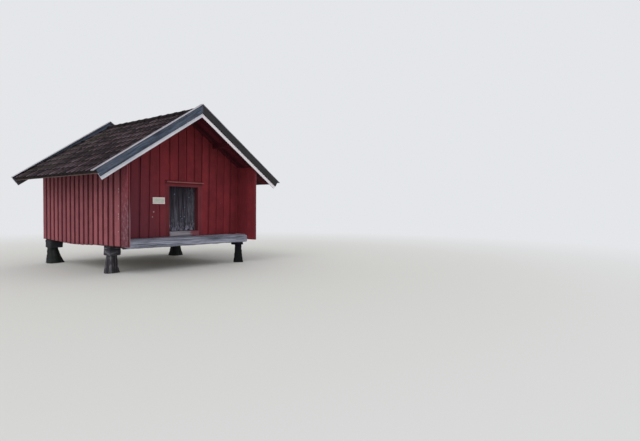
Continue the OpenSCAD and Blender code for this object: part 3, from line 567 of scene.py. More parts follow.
# Each wooden finish as the arguments of wood
WOODS = {
    # Distemper bleached by sun and rain: matt and pinkish, with the grain showing through, and the board
    # edges painted dark red as the shade of the gaps
    "faded_red_pine": dict(
        own=BARE, coat=("side_red", "side_dark"), lost=0.12, vary=0.35, chips=CORNER_CHIPS, layers=[
            ("blotch 0.5 broad 0.5", 0.52, 0.64, 0.30, "#a8767b"), FOOT, CHIP,
            # Board edges darkened: painted shade where the gaps between the over boards fall into shadow
            ("worn 1", 0.75, 0.98, 0.7, "#5c262c")]),
    # The same paint deep in the gaps, darker as painted shade of the gaps, and partly its own dark red that
    # the sun has not faded
    # Painted shade: the gap boards take a darker copy of the side paint
    "dark_red_pine": dict(own=BARE_IN_PAINTED_SHADE, coat=("#5a2027", "#43161c"), lost=0.02, vary=0.5),
    # Paint in the shelter of the porch: saturated and even, dull and purple where damp rises, with the board
    # edges painted dark as the shade of the gaps
    "sheltered_red_pine": dict(SHELTERED, chips=FRONT_CHIPS, layers=[
        ("x 1 z 0.5 blotch 0.5", 1.45, -0.85, 0.62, "#643946"), CHIP,
        # Board edges darkened: painted shade of the gaps between the over boards
        ("worn 1", 0.75, 0.98, 0.55, "#351014")]),
    # The same on the casings, duller, with painted highlights on the arrises and a painted shadow under the
    # drip board
    "casing_red_pine": dict(own=BARE, coat=("#7c353c", "#682a31"), lost=0.03, edge=0.1, vary=0.4, layers=[
        # Pale arrises: painted highlight where the edges catch the light; dark band: painted shadow under the
        # drip board
        ("worn 1", 0.2, 0.9, 0.35, "#8d6670"), ("z 1", DRIP_Z - 0.034, DRIP_Z - 0.016, 0.65, "#3a0e13")]),
    # The same, lighter, on the drip board: painted light on a board that faces the sky
    "rained_red_pine": dict(own=BARE, coat=("#a96769", "#8c4d4f"), lost=0.10, edge=0.1, vary=0.4),
    # The same on the wing walls, with a bare pinkish front edge
    "wing_red_pine": dict(SHELTERED, layers=[
        ("y 1 z 0.0035 x 0.002", FRONT_Y + 0.007, FRONT_Y + 0.001, 0.85, "#93727c")]),
    # Paint under the roof: a darker copy of the red paint, painted shade with some dust
    "soffit_red_pine": dict(own=BARE_IN_PAINTED_SHADE, coat=("#591f28", "#421720"), lost=0.02),
    # Paint worn to mauve and grey wood in patches
    "worn_red_pine": dict(
        own=("#8f7d82", "#5c4a50"), coat=("#8a4f58", "#70404a"), lost=0.30, edge=0.10, layers=[
            ("blotch 0.6 fine 0.4", 0.48, 0.62, 0.55, "#a48089"),
            ("blotch 0.5 broad 0.5", 0.46, 0.38, 0.55, "#5c2f39"),
            ("z 1 patch 1", 1.5, 3.1, 0.65, "#95434d"), FOOT]),
    # Oil paint gone chalky and a little blue, on the faces only: the backs are bare, and painted near black
    # as their shade
    "white_pine": dict(own=BARE, coat=("white", "#c6cad8"), lost=0.05, edge=0.08, vary=0.3, layers=[
        # Backs near black: painted shade on the bare backs of the boards
        ("x 1", -0.03, 0.03, 0.6, "#fff5f9"), ("away 1", DECK_Y + 0.012, DECK_Y + 0.006, 0.92, "#36373c")]),
    # Bare boards: mottled blue grey on the left slope, brown and dark on the shaded right slope, with
    # painted shadow on their edges, and lighter blue at the rear as painted light on the shaded inner face
    "grey_pine": dict(own=("#5a6679", "#323845"), cracks=0.7, vary=0.5, layers=[
        ("blotch 0.6 broad 0.4", 0.50, 0.62, 0.45, "#7c7d8c"), ("x 1", -0.03, 0.03, 0.88, "#332f2e"),
        ("blotch 1", 0.54, 0.68, 0.5, "#2b2a30"), ("worn 1", 0.2, 0.8, 0.75, "#191a20"),
        # Lighter blue at the rear: painted light on the shaded inner face of the rear boards
        ("y 1 x -0.2", 1.9, 2.4, 0.55, "#6f7a90")]),
    # Cap boards bleached almost white on top, and lighter still at the rear left as a painted highlight
    "silver_pine": dict(own=("#a5a1aa", "#67646d"), cracks=0.6, vary=0.5, layers=[
        # The second layer lightens the rear left cap: a painted highlight along its edge
        ("worn 1 blotch 0.4", 0.7, 1.2, 0.8, "#d3d2dc"), ("y 1 x -1", 3.2, 4.6, 0.45, "#dcdce8")]),
    # Hewn beam, silver blue with deep drying cracks, bleached at its ends, darker on its underside and near
    # black at its left end under the wing as painted shade
    "hewn_silver_pine": dict(own=("#a0a4b4", "#454853"), grain=0.014, cracks=0.9, relief=0.003, layers=[
        ("x -1 blotch 0.7", 1.75, 2.35, 0.6, "#aeb4c8"), ("x 1 blotch 0.7", 1.95, 2.5, 0.6, "#a9aebf"),
        # Painted shade on the underside below the sills, and a painted shadow at the left end under the wing
        ("z 1 blotch 0.10", SILL_Z + 0.03, SILL_Z - 0.02, 0.55, "#33353f"),
        ("x -1 z -2", 0.54, 0.62, 0.9, "#1c1b20")]),
    # The threshold: the same, with red paint left on its right end
    "trodden_pine": dict(own=("#9a949e", "#57525b"), grain=0.014, cracks=0.8, relief=0.003, layers=[
        ("x 1 blotch 0.25", 0.33, 0.43, 0.85, "#7d3a43")]),
    # Debarked stumps, grey brown with deep checks and pale streaks on the left posts, near black on the right
    # and darker on the caps as painted shade
    "post_pine": dict(POST, own=("#4d4a4f", "#151418"), layers=[
        # Right post and cap near black, tops and caps darker: painted shade under the building
        ("patch 1", 0.52, 0.70, 0.5, "#2c3026"), ("x 1", 0.0, 1.0, 0.92, "#0d0f11"),
        ("z 1 blotch 0.1", 0.49, 0.53, 0.45, "#1b1928"),
        ("fleck 0.6 fine 0.8 x -0.3", 1.30, 1.46, 0.5, "#8b8a90")]),
    # The same at the rear, dark and mossy, with the rear left cap lighter as painted light
    "dark_post_pine": dict(POST, own=("#2f3231", "#131615"), layers=[
        # Lighter on the rear left cap: painted light, while the rear right cap keeps the deep shade
        ("patch 1", 0.45, 0.65, 0.6, "#1f2a22"), ("z 1 x -0.2", 0.82, 0.84, 0.6, "#38383e")]),
    # Door planks: blue grey and streaked below, with light and dark flecks, dark at the head and along the
    # right edge as painted shadow of the recess and the jamb
    "door_pine": dict(
        own=("#5d5a66", "#1c1a22"), grain=0.012, cracks=0.9, relief=0.002, chips=DOOR_CHIPS, layers=[
            # Dark at the head: painted shadow of the recess over the door
            ("broad 1", 0.60, 0.40, 0.45, "#28242a"), ("z 1 broad 0.8", 2.0, 2.6, 0.6, "#1b1920"),
            ("blotch 0.45 fine 0.55 z -0.45", -0.10, 0.08, 0.38, "#86849a"),
            ("x 1 fleck 0.8 fine 0.4", 0.88, 1.18, 0.4, "#7a7784"),
            ("fleck 0.75 fine 0.45 z -0.45", 0.11, 0.20, 0.55, "#a09fb2"),
            ("fleck -0.8 fine -0.3 z -0.45", -1.01, -0.95, 0.8, "#0e0c13"),
            # Dark along the right edge: painted shadow of the jamb
            ("x 1 blotch 0.1", 0.48, 0.56, 0.6, "#151318"), ("chip 1", 0.09, 0.03, 0.3, "#2b2c3c"),
            ("chip 1 fine 0.04", 0.044, 0.030, 0.5, "#8593ad")]),
    # Eave boards and battens: brown, darkened as painted shade under the tiles, with their lower edge lighter
    # as painted light
    "brown_pine": dict(own=("#332826", "#191314"), cracks=0.8, vary=0.5, layers=[
        # Lighter lower edge: painted light below the shade of the tiles
        ("z 1 blotch 0.02", EAVE_Z + 0.034, EAVE_Z + 0.018, 0.75, "#7b6c68")]),
    # Floor boards worn smooth and brown, dry under the roof
    "floor_pine": dict(own=("#a08a68", "#6b5639"), cracks=0.4),
    "log_pine_y": dict(LOG, along=1),
    "log_pine_x": dict(LOG, along=0),
}
# The other finishes as the arguments of mineral
TIN = {"bump": "blotch 1", "relief": 0.0003, "rough": 0.5, "gloss": 0.5}
MINERALS = {
    # Fired clay pantile: matt, uneven from tile to tile, with a painted reflection of the sky on the crests,
    # troughs darkened by painted shade and by soot and algae, and moss that grows towards the rear
    "pantile_clay": dict(
        base="tile_dark", bump="grit 0.5 blotch 1", relief=0.002, rough=0.78, gloss=0.08, layers=[
            ("tone 0.5 blotch 0.6", 0.25, 0.85, 1, "tile"),
            ("patch 0.7 blotch 0.3 y 0.035", 0.54, 0.66, 0.60, "moss"),
            # Dark troughs: painted shade, with soot and algae
            ("worn 1 blotch 0.2", 1.00, 0.70, 0.80, "#141015"),
            # Pale crests: painted reflection of the sky
            ("worn 0.8 nose 0.14 tone 0.14 grit 0.3 blotch 0.3", 1.14, 1.42, 0.7, "#786c76")]),
    # Forged iron: dull dark scale with fine rust
    "forged_iron": dict(base="iron", bump="grit 1", relief=0.001, rough=0.62, gloss=0.5, metal=0.6, layers=[
        ("grit 0.5 blotch 0.5", 0.42, 0.62, 1, "#5d3d2c")]),
    # Sheet metal with an old coat of paint that has yellowed and collected dust: the rim, and the bare field
    "white_tin": dict(TIN, base="#f4e4e4", layers=[("blotch 0.7 grit 0.3", 0.38, 0.70, 1, "#dccaca")]),
    "pale_tin": dict(TIN, base="#cfd3c9", layers=[("blotch 0.7 grit 0.3", 0.38, 0.70, 1, "#b6b9af")]),
}
FINISHES = {}


def finish(name):
    """The finish of that name, made when it is first asked for."""
    if name not in FINISHES:
        FINISHES[name] = wood(name, **WOODS[name]) if name in WOODS else mineral(name, **MINERALS[name])
    return FINISHES[name]


# Walls
def skirt(a, b):
    """Lower end of a side board from a to b along Y: between the left posts it dips by a sine, but it stays
    above the caps of the posts."""
    posts = prop("posts")
    y, room = (a + b) / 2, 0.020
    y0, y1 = FRONT_Y + posts.back[0] + posts.cap[0] / 2, FRONT_Y + posts.back[2] - posts.cap[2] / 2 - room
    dip = prop("walls").skirt_dip * math.sin(math.pi * (y - y0) / (y1 - y0)) if y0 < y < y1 else 0.0
    if any(abs(y - FRONT_Y - at) < (cap + (b - a)) / 2 + room for at, cap in zip(posts.back, posts.cap)):
        dip = min(dip, SKIRT_Z - SILL_Z - SHY)
    return SKIRT_Z - dip


def side_spans():
    """Over boards of a side wall as (low y, high y): a wide one at the rear corner, like ones forward, and
    the inner corner board. Under boards meet behind the middle of each."""
    walls = prop("walls")
    pitch = walls.side_pitch
    first, inner = REAR_Y - walls.rear_corner, FRONT_Y + walls.corner_w + walls.corner_gap
    run = first - (pitch - walls.side_over) - inner
    count = int(run / pitch)
    over = [(first, REAR_Y)]
    over += [(first - k * pitch, first - k * pitch + walls.side_over) for k in range(1, count + 1)]
    over.append((inner, inner + run - count * pitch))
    middles = [REAR_Y] + [(a + b) / 2 for a, b in over[1:]] + [FRONT_Y]
    return over, [(b, a - UNDER_GAP) for a, b in zip(middles, middles[1:])]


class GRANARY_OT_side_walls(bpy.types.Operator):
    """Board and batten of the two side walls and the wide boards at the front corners"""
    bl_idname = "granary.side_walls"
    bl_label = "Side walls"

    def execute(self, context):
        walls = prop("walls")
        over, under = side_spans()
        corners = []
        for side, name, seed in ((-1, "left", 11), (1, "right", 21)):
            rng = np.random.default_rng(seed)
            normal = (side, 0, 0)
            for k, (kind, spans, back, thick, surface, nodes, warp) in enumerate((
                ("under", under, LOG_X, walls.under_t, "dark_red_pine", [], 0.0012),
                ("over", over, LOG_X + walls.under_t, walls.over_t, "faded_red_pine",
                 ["cladding_" + name], 0.002),
            )):
                foot = np.array([skirt(a, b) for a, b in spans]) + rng.uniform(0, 0.008, len(spans))
                boards = planks(normal, UP, spans, back, thick, foot, wall_top(1), seed + 1 + k, warp=warp)
                make(kind + "_boards_" + name, [boards], surface, nodes)
            corners.append(planks(
                normal, UP, [(FRONT_Y, FRONT_Y + walls.corner_w)], SIDE_X - walls.over_t, walls.over_t,
                SKIRT_Z + 2 * HAIR, wall_top(1), seed + 3, steps=13))
        make("corner_planks", corners, "worn_red_pine", ["corner_boards"])
        return {"FINISHED"}


def laps(middle, pitch, width, reach, slip=0.0):
    """Over boards between -reach and reach, with their gaps at middle plus whole pitches, and slip further
    left where they are more than two pitches left of it, and under boards that meet behind their middles."""
    least = 0.025
    gaps = middle + pitch * np.arange(-math.ceil(2 * reach / pitch), math.ceil(2 * reach / pitch))
    gaps = gaps - slip * (gaps < middle - 2.5 * pitch)
    rim = (pitch - width) / 2
    middles = (gaps[1:] + gaps[:-1]) / 2
    spans = zip(gaps + rim, gaps[1:] - rim), zip(middles, middles[1:] - UNDER_GAP)
    return [
        [(max(a, -reach), min(b, reach)) for a, b in pairs if min(b, reach) - max(a, -reach) > least]
        for pairs in spans
    ]


def round_doorway(spans, hole_l, hole_r, split):
    """Boards with a doorway cut out from the foot up to split: those beside it run through, those over it
    start at split, and those on its edge are two pieces. Returns (low x, high x, foot, head or None)."""
    sliver = 0.01
    boards = []
    for a, b in spans:
        if b <= hole_l or a >= hole_r:
            boards.append((a, b, PORCH_Z, None))
            continue
        boards.append((a, b, split, None))
        if a < hole_l - sliver:
            boards.append((a, hole_l, PORCH_Z, split))
        if b > hole_r + sliver:
            boards.append((hole_r, b, PORCH_Z, split))
    return boards


class GRANARY_OT_end_walls(bpy.types.Operator):
    """Board and batten of the front wall behind the porch and of the rear wall, and the wing linings"""
    bl_idname = "granary.end_walls"
    bl_label = "End walls"

    def execute(self, context):
        walls = prop("walls")
        rng = np.random.default_rng(51)
        (case_l, _, _), (case_r, _, _) = box("door_casings")
        door_x = (HOLE_LOW[0] + HOLE_HIGH[0]) / 2
        reach, aslant, clear = LINING_X - HAIR, 0.02, 0.02
        over, under = laps(door_x + walls.front_shift, walls.front_pitch, walls.front_over, reach, slip=0.045)
        over = round_doorway(over, case_l, case_r, box("drip_board")[1][2])
        under = round_doorway(under, HOLE_LOW[0], HOLE_HIGH[0], HOLE_HIGH[2])
        for name, boards, back, thick, seed in (
            ("over_boards_front", over, -LOG_FRONT_Y + walls.under_t, walls.over_t, 52),
            ("under_boards_front", under, -LOG_FRONT_Y, walls.under_t, 54),
        ):
            skins = []
            for cut in (False, True):
                part = [board for board in boards if (board[3] is not None) == cut]
                foot = np.array([board[2] for board in part]) + rng.uniform(0.001, 0.005, len(part))
                # Boards that run through stand a little aslant, but not those at the wing walls
                lean = [0.0 if cut or max(-a, b) > reach - clear or low > PORCH_Z else aslant
                        for a, b, low, _ in part]
                skins.append(planks(FRONT, UP, [board[:2] for board in part], back, thick, foot,
                                    part[0][3] if cut else roof_line, seed + cut, steps=13, lean=lean))
            make(name, skins, "sheltered_red_pine",
                 ["cladding_front_left", "cladding_front_right", "cladding_front_over"])

        over, under = laps(0.0, walls.side_pitch, walls.side_over, LOG_X)
        back = REAR_Y - walls.under_t - walls.over_t
        for name, spans, level, thick, surface, seed in (
            ("over_boards_rear", over, back + walls.under_t, walls.over_t, "faded_red_pine", 58),
            ("under_boards_rear", under, back, walls.under_t, "dark_red_pine", 59),
        ):
            foot = SKIRT_Z + rng.uniform(0.001, 0.010, len(spans))
            boards = planks(BACK, UP, spans, level, thick, foot, roof_line, seed, warp=0.002)
            make(name, [boards], surface, ["cladding_rear"])

        spans = spread(FRONT_Y, LOG_FRONT_Y, walls.lining_w, GAP)
        make("wing_boards", [
            planks((-side, 0, 0), UP, spans, -LOG_X, LOG_X - LINING_X, SKIRT_Z, wall_top(-1), 60 + side)
            for side in (-1, 1)
        ], "wing_red_pine", ["wing_linings"])
        return {"FINISHED"}


class GRANARY_OT_doorway(bpy.types.Operator):
    """Casings, drip board and linings of the doorway, and the bare sign plate beside it"""
    bl_idname = "granary.doorway"
    bl_label = "Doorway"

    def execute(self, context):
        low, high = box("door_casings")
        layer = (-high[1], high[1] - low[1])
        head_z = HOLE_HIGH[2] - JAMB
        sides = [(low[0], HOLE_LOW[0] + JAMB), (HOLE_HIGH[0] - JAMB, high[0])]
        make("casings", [
            planks(FRONT, UP, sides, *layer, low[2] + 2 * HAIR, head_z - HAIR, 61, bevel=0.004),
            planks(FRONT, RIGHT, [(head_z, high[2])], *layer, low[0], high[0], 62, bevel=0.004),
        ], "casing_red_pine", ["door_casings"])
        dressed("drip_board", 0, 0.003, "drip_over_door", "rained_red_pine")
        make("jambs", [
            planks(normal, run, [(HOLE_LOW[1], HOLE_HIGH[1])], back, JAMB, start, end, seed, warp=0.0004)
            for normal, run, back, start, end, seed in (
                (RIGHT, UP, HOLE_LOW[0], HOLE_LOW[2], head_z - HAIR, 63),
                (LEFT, UP, -HOLE_HIGH[0], HOLE_LOW[2], head_z - HAIR, 64),
                (DOWN, RIGHT, -HOLE_HIGH[2], HOLE_LOW[0], HOLE_HIGH[0], 65))
        ], "casing_red_pine", ["door_linings"])
        self.sign()
        return {"FINISHED"}

    def sign(self):
        """A plate with a raised rim, its field left bare."""
        low, high = box("sign_plate")
        rim = 0.020
        dressed("sign_plate", 0, 0.0015, "sign_field_plate", "pale_tin")
        make("sign_rim_bars", [
            planks(FRONT, run, [(at, at + rim)], -low[1] - HAIR, 0.003, start, end, seed,
                   bevel=0.001, warp=0, steps=2)
            for run, edges, start, end, seed in (
                (RIGHT, (low[2], high[2] - rim), low[0], high[0], 66),
                (UP, (low[0], high[0] - rim), low[2] + rim, high[2] - rim, 67))
            for at in edges
        ], "white_tin")


# Roof
def settled(share):
    """How far the rafters have settled at a share of the way from the middle to a gable: a parabola."""
    deepest = 0.010
    return deepest * (1 - share ** 2)


class GRANARY_OT_tiles(bpy.types.Operator):
    """Pantiles of both slopes and the ridge tiles"""
    bl_idname = "granary.tiles"
    bl_label = "Tiles"

    def execute(self, context):
        roof = prop("roof")
        tiles_y = box("tiles_left")[1][1]
        slope_l = slope_length()
        # A tile is tilted so that its nose lies a little above the tile below
        tilt = (roof.tile_t + 2 * HAIR) / roof.course
        tile_n = roof.board_t + roof.batten_h
        columns = round(2 * tiles_y / roof.tile_w)
        top_s, ridge_room, across = 0.006, 0.04, 12
        courses = math.ceil((slope_l - roof.lap - ridge_room) / roof.course)
        # A tile starts past its neighbour's roll and ends with its own roll lapping the next tile
        u = np.linspace(0, 1.09, across)
        u = np.concatenate([u, u[::-1]])
        upper = np.arange(2 * across) < across
        lift = roof.tile_t * np.clip((u - 0.74) / 0.3, 0, 1) ** 1.5
        # The section is a sine raised to a power, so that the roll is narrow and the trough broad
        height = roof.tile_wave * (0.5 + 0.5 * np.sin(2 * math.pi * (0.36 + u))) ** roof.roll_power
        v = np.array([0.0, 1.0])
        for side, name, seed in ((-1, "left", 71), (1, "right", 72)):
            rng = np.random.default_rng(seed)
            down, out = slope_axes(side)
            column, row = (
                g.ravel()[:, None, None] for g in np.meshgrid(np.arange(columns), np.arange(courses)))
            stray = lambda size: rng.normal(0, size, column.shape)
            head = slope_l - (row + 1) * roof.course - roof.lap
            s = np.clip(head + stray(0.004) + v[:, None] * (roof.course + roof.lap) + 0 * u, top_s, slope_l)
            y = -tiles_y + (column + 0.004 + u) * 2 * tiles_y / columns + stray(0.002) + 0 * s
            y = np.clip(y, -tiles_y, tiles_y)
            n = tile_n + (s - head) * tilt + height + lift + upper * roof.tile_t + stray(0.0016) * (u - 0.5)
            n = n + rng.uniform(0, 0.002, column.shape) - settled(y / tiles_y)
            place = np.array([0, 0, APEX_Z]) + s[..., None] * down + n[..., None] * out
            place = place + y[..., None] * np.array(BACK)
            grain = stacked(v[:, None] + 0 * s, s, rng.uniform(0, 1, column.shape))
            if side < 0:
                place, grain = place[:, ::-1], grain[:, ::-1]
            # The roll's height drives the painted sky reflection on the crests and the painted shade in the
            # troughs
            wear = np.broadcast_to(height / roof.tile_wave, s.shape)
            make("pantiles_" + name, [folded(place, grain, wear)], "pantile_clay",
                 ["tiles_" + name], crease=40)
        self.ridge(roof)
        return {"FINISHED"}

    def ridge(self, roof):
        """Half tubes whose radius grows towards the lapping end, where a collar stands out."""
        low, high = box("ridge_tiles")
        rng = np.random.default_rng(73)
        count = roof.ridge_count
        each = (high[1] - low[1]) / count
        points_round, collar = 15, 0.009
        stations = np.array([0, 0.16, 0.18, 0.6, 1.0, 1.10])[:, None]
        swell = np.array([collar, collar, 0.001, 0, -0.003, -0.004])[:, None]
        turn = np.linspace(math.radians(-4), math.radians(184), points_round)
        turn = np.concatenate([turn, turn[::-1]])
        inner = np.arange(2 * points_round) >= points_round
        first = low[1] + np.arange(count)[:, None, None] * each
        y = np.clip(first + stations * each + 0 * turn, low[1], high[1])
        radius = roof.ridge_r - inner * roof.tile_t + swell
        x = rng.normal(0, 0.004, (count, 1, 1)) + radius * np.cos(turn)
        top = high[2] - roof.ridge_r - collar
        z = top + radius * np.sin(turn) - rng.uniform(0, 0.004, (count, 1, 1)) - settled(y / high[1])
        grain = stacked(0.5 + 0 * y, y, rng.uniform(0, 1, (count, 1, 1)))
        # Highest on top: the painted reflection falls on the top of a ridge tile, the painted shade on its
        # sides
        wear = np.broadcast_to(0.4 + 0.5 * np.sin(turn), y.shape)
        make("ridge_caps", [folded(stacked(x, y, z), grain, wear)], "pantile_clay",
             ["ridge_tiles"], crease=40)


class GRANARY_OT_roof_boards(bpy.types.Operator):
    """Roof boards down both slopes, eave boards, battens and purlins"""
    bl_idname = "granary.roof_boards"
    bl_label = "Roof boards"

    def execute(self, context):
        roof = prop("roof")
        tan = math.tan(roof.pitch)
        deck_l = slope_length() - roof.eave_back - roof.eave_t
        # An eave board stands up past the battens, close under the lowest tiles
        eave_w = roof.board_t + roof.batten_h + 0.018
        origin = (0, 0, APEX_Z)
        eaves = []
        for side, name, seed in ((-1, "left", 81), (1, "right", 82)):
            down, out = slope_axes(side)
            spans = spread(-DECK_Y, DECK_Y, roof.soffit_w, 0.002)[::-side]
            # The painted face is the underside, so the planks are laid face down
            laid = planks(-out, down, spans, -roof.board_t, roof.board_t - HAIR,
                          lambda a, h: h * tan + HAIR, deck_l, seed, origin)
            make("soffit_boards_" + name, [laid], "soffit_red_pine", ["roof_boards_" + name])
            eaves.append(planks(down, BACK, [(0, eave_w)], deck_l, roof.eave_t, -DECK_Y, DECK_Y, seed + 2,
                                origin, warp=0.003, steps=25))
        make("eave_planks", eaves, "brown_pine", ["eave_boards"])
        plain(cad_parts["tile_battens"].data, "brown_pine")
        for node, name in (("ridge_purlin", "purlin_at_ridge"), ("side_purlins", "purlins_beside")):
            dressed(node, 1, 0.006, name, "soffit_red_pine")
        return {"FINISHED"}


class GRANARY_OT_verges(bpy.types.Operator):
    """White and grey verge boards with the cap boards over them, at both gables"""
    bl_idname = "granary.verges"
    bl_label = "Verges"

    def execute(self, context):
        roof = prop("roof")
        reach = SIDE_X + roof.eave_out
        white_y, grey_y, cap_y = (
            box(node)[1][1] for node in ("barge_boards_white", "barge_boards_grey", "verge_caps"))
        grey_low = roof.white_seen - roof.white_drop
        grey_top = grey_low + roof.grey_w
        white, grey, caps = [], [], []
        for end, lift, past in ((-1, roof.front_lift, roof.front_past), (1, roof.rear_lift, roof.rear_past)):
            p = roof.pitch + lift
            tan = math.tan(p)
            rise = tan - math.tan(roof.pitch)
            origin = (0, 0, APEX_Z + reach * rise)
            verge_l = slope_length(lift)
            cap_span = sorted((end * (cap_y - roof.cap_w + SHY), end * (cap_y - SHY)))

            def deck_top(s):
                """How far the roof boards' upper face stands off the verge line, s down the verge."""
                drop = roof.board_t / math.cos(roof.pitch) - (reach - s * math.cos(p)) * rise
                return math.cos(p) * drop / (1 - math.cos(p) * math.sin(p) * rise) - SHY

            for side in (-1, 1):
                down, out = slope_axes(side, lift)
                seed = 90 + 2 * end + side
                mitre = lambda a, h: -a * tan + HAIR / 2
                common = {"origin": origin, "warp": 0.002, "steps": 21}
                for boards, span, face, first, cut in (
                    (white, (-roof.white_drop, roof.board_t), white_y, seed,
                     lambda a, s: np.minimum(a, deck_top(s))),
                    (grey, (grey_low + HAIR, grey_top - HAIR), grey_y, seed + 10, None),
                ):
                    boards.append(planks((0, end, 0), down, [span], face - roof.verge_t, roof.verge_t, mitre,
                                         verge_l, first, trim=cut, **common))
                caps.append(planks(
                    out, down, [cap_span], grey_top, roof.cap_t - SHY, lambda a, h: -h * tan + HAIR / 2,
                    verge_l + past - 2 * SHY, seed + 20, bevel=0.004, **common))
        make("verge_boards_white", white, "white_pine", ["barge_boards_white"])
        make("verge_boards_grey", grey, "grey_pine", ["barge_boards_grey"])
        make("verge_cap_boards", caps, "silver_pine", ["verge_caps"])
        return {"FINISHED"}


# Base
def stump(place, height, neck, flare, seed, lean):
    """A post: its radius is the neck plus a flare that dies out with the height to the power 1.5, with
    weathered checks that run up it as narrow dips, and a slow ripple. It leans by lean in x and y."""
    rng = np.random.default_rng(seed)
    levels, checks = 40, 18
    turn = round_turn(120)
    t = np.linspace(0, 1, levels)[:, None]
    spread_out = (1 - t) ** 1.5
    centres = rng.uniform(0, 2 * math.pi, checks)
    drift = rng.normal(0, 0.10, checks)
    width = rng.uniform(0.03, 0.09, checks)
    depth = rng.uniform(0.003, 0.011, checks)
    offset = turn[None, :, None] - centres - drift * t[..., None]
    offset = (offset + math.pi) % (2 * math.pi) - math.pi
    dips = (depth * np.exp(-(offset / width) ** 2)).sum(-1)
    lobes = 1 + 0.35 * np.sin(3 * turn + rng.uniform(0, 6)) * spread_out
    radius = neck + flare * spread_out * lobes - dips * (0.4 + 0.6 * (1 - t))
    x = place[0] + radius * np.cos(turn) + lean[0] * t
    y = place[1] + radius * np.sin(turn) + lean[1] * t
    points = stacked(x, y, height * t)
    push = 0.004 * ripple(points, 0.06, seed) * np.minimum(1, 8 * t)
    points[..., 0] += push * np.cos(turn)
    points[..., 1] += push * np.sin(turn)
    return solid(points, turn * neck + seed, height * t)


def block(low, high, seed):
    """A hewn block: a square section with rounded corners, which are cosines and sines raised to a small
    power, carried up, drawn in by a bevel at both ends and pushed in and out by a ripple."""
    turns, levels, power, bevel = 64, 18, 0.16, 0.018
    turn = round_turn(turns) + math.pi / turns
    centre, half = (low + high) / 2, (high - low) / 2
    x, y = (np.sign(c) * np.abs(c) ** power for c in (np.cos(turn), np.sin(turn)))
    t = np.linspace(0, 1, levels)[:, None]
    rim = np.minimum(t, 1 - t) * (high[2] - low[2])
    pull = 1 - bevel / half[0] * np.clip(1 - rim / bevel, 0, 1) ** 2
    points = stacked(
        centre[0] + half[0] * x * pull, centre[1] + half[1] * y * pull, low[2] + t * (high[2] - low[2]))
    push = 0.004 * (ripple(points, 0.09, seed) - 1.0)
    points[..., 0] += push * x
    points[..., 1] += push * y
    return solid(points, points[..., 2] + seed, points[..., 0] + points[..., 1])


class GRANARY_OT_posts(bpy.types.Operator):
    """The four timber posts and the cap blocks on them"""
    bl_idname = "granary.posts"
    bl_label = "Posts"

    def execute(self, context):
        posts = prop("posts")
        _, caps_high = box("post_caps")
        corner = np.array([-1, 1]) / math.sqrt(2)
        skins, caps = [], []
        for k, side in enumerate((-1, 1, -1, 1)):
            x, y = side * (caps_high[0] - posts.cap[3] / 2), FRONT_Y + posts.back[k]
            height, half = posts.height[k], posts.cap[k] / 2
            skins.append(stump((x, y) + posts.foot[k] * corner, height, posts.neck[k], posts.flare[k],
                               101 + k, posts.lean[k] * corner))
            caps.append(block(np.array([x - half, y - half, height]),
                              np.array([x + half, y + half, caps_high[2]]), 111 + k))
        make("posts_front", skins[:2], "post_pine", ["front_posts"])
        make("posts_rear", skins[2:], "dark_post_pine", ["rear_posts"])
        make("cap_blocks_front", caps[:2], "post_pine", ["post_caps"])
        make("cap_blocks_rear", caps[2:], "dark_post_pine", ["post_caps"])
        return {"FINISHED"}


def hewn(corners, step, x0, x1, seed, checks, deep, stations):
    """A hewn log along X: a closed outline of (y, z) corners, filled out with points about step apart and
    carried along, pushed by a slow ripple, with drying cracks that are narrow dips along wandering lines."""
    rng = np.random.default_rng(seed)
    rough = 0.004
    sides = []
    for here, there in zip(np.array(corners), np.roll(corners, -1, 0)):
        count = max(1, round(math.dist(here, there) / step))
        sides.append(here + (there - here) * np.arange(count)[:, None] / count)
    profile = np.concatenate(sides)
    x = np.linspace(x0, x1, stations)[:, None]
    points = stacked(x, profile[:, 0], profile[:, 1])
    tangent = np.roll(profile, -1, 0) - np.roll(profile, 1, 0)
    outward = np.stack([tangent[:, 1], -tangent[:, 0]], -1)
    outward /= np.maximum(np.linalg.norm(outward, axis=1), 1e-9)[:, None]
    gone = np.linalg.norm(np.diff(profile, axis=0, prepend=profile[:1]), axis=1).cumsum()
    push = rough * (ripple(points, 0.22, seed) - 0.6) + 0.35 * rough * ripple(points, 0.05, seed + 1)
    place = rng.uniform(0, gone[-1], checks)
    centre = rng.uniform(x0, x1, checks)
    reach = rng.uniform(0.25, 0.9, checks)
    width = rng.uniform(0.003, 0.007, checks)
    wander = place + 0.012 * np.sin(x / 0.35 + place * 40)
    dip = np.exp(-((gone[None, :, None] - wander[:, None]) / width) ** 2)
    dip = dip * np.exp(-((x[:, None] - centre) / reach) ** 4)
    push = push - deep * dip.max(-1)
    points[..., 1] += push * outward[:, 0]
    points[..., 2] += push * outward[:, 1]
    return solid(points, gone[None] + seed, x)


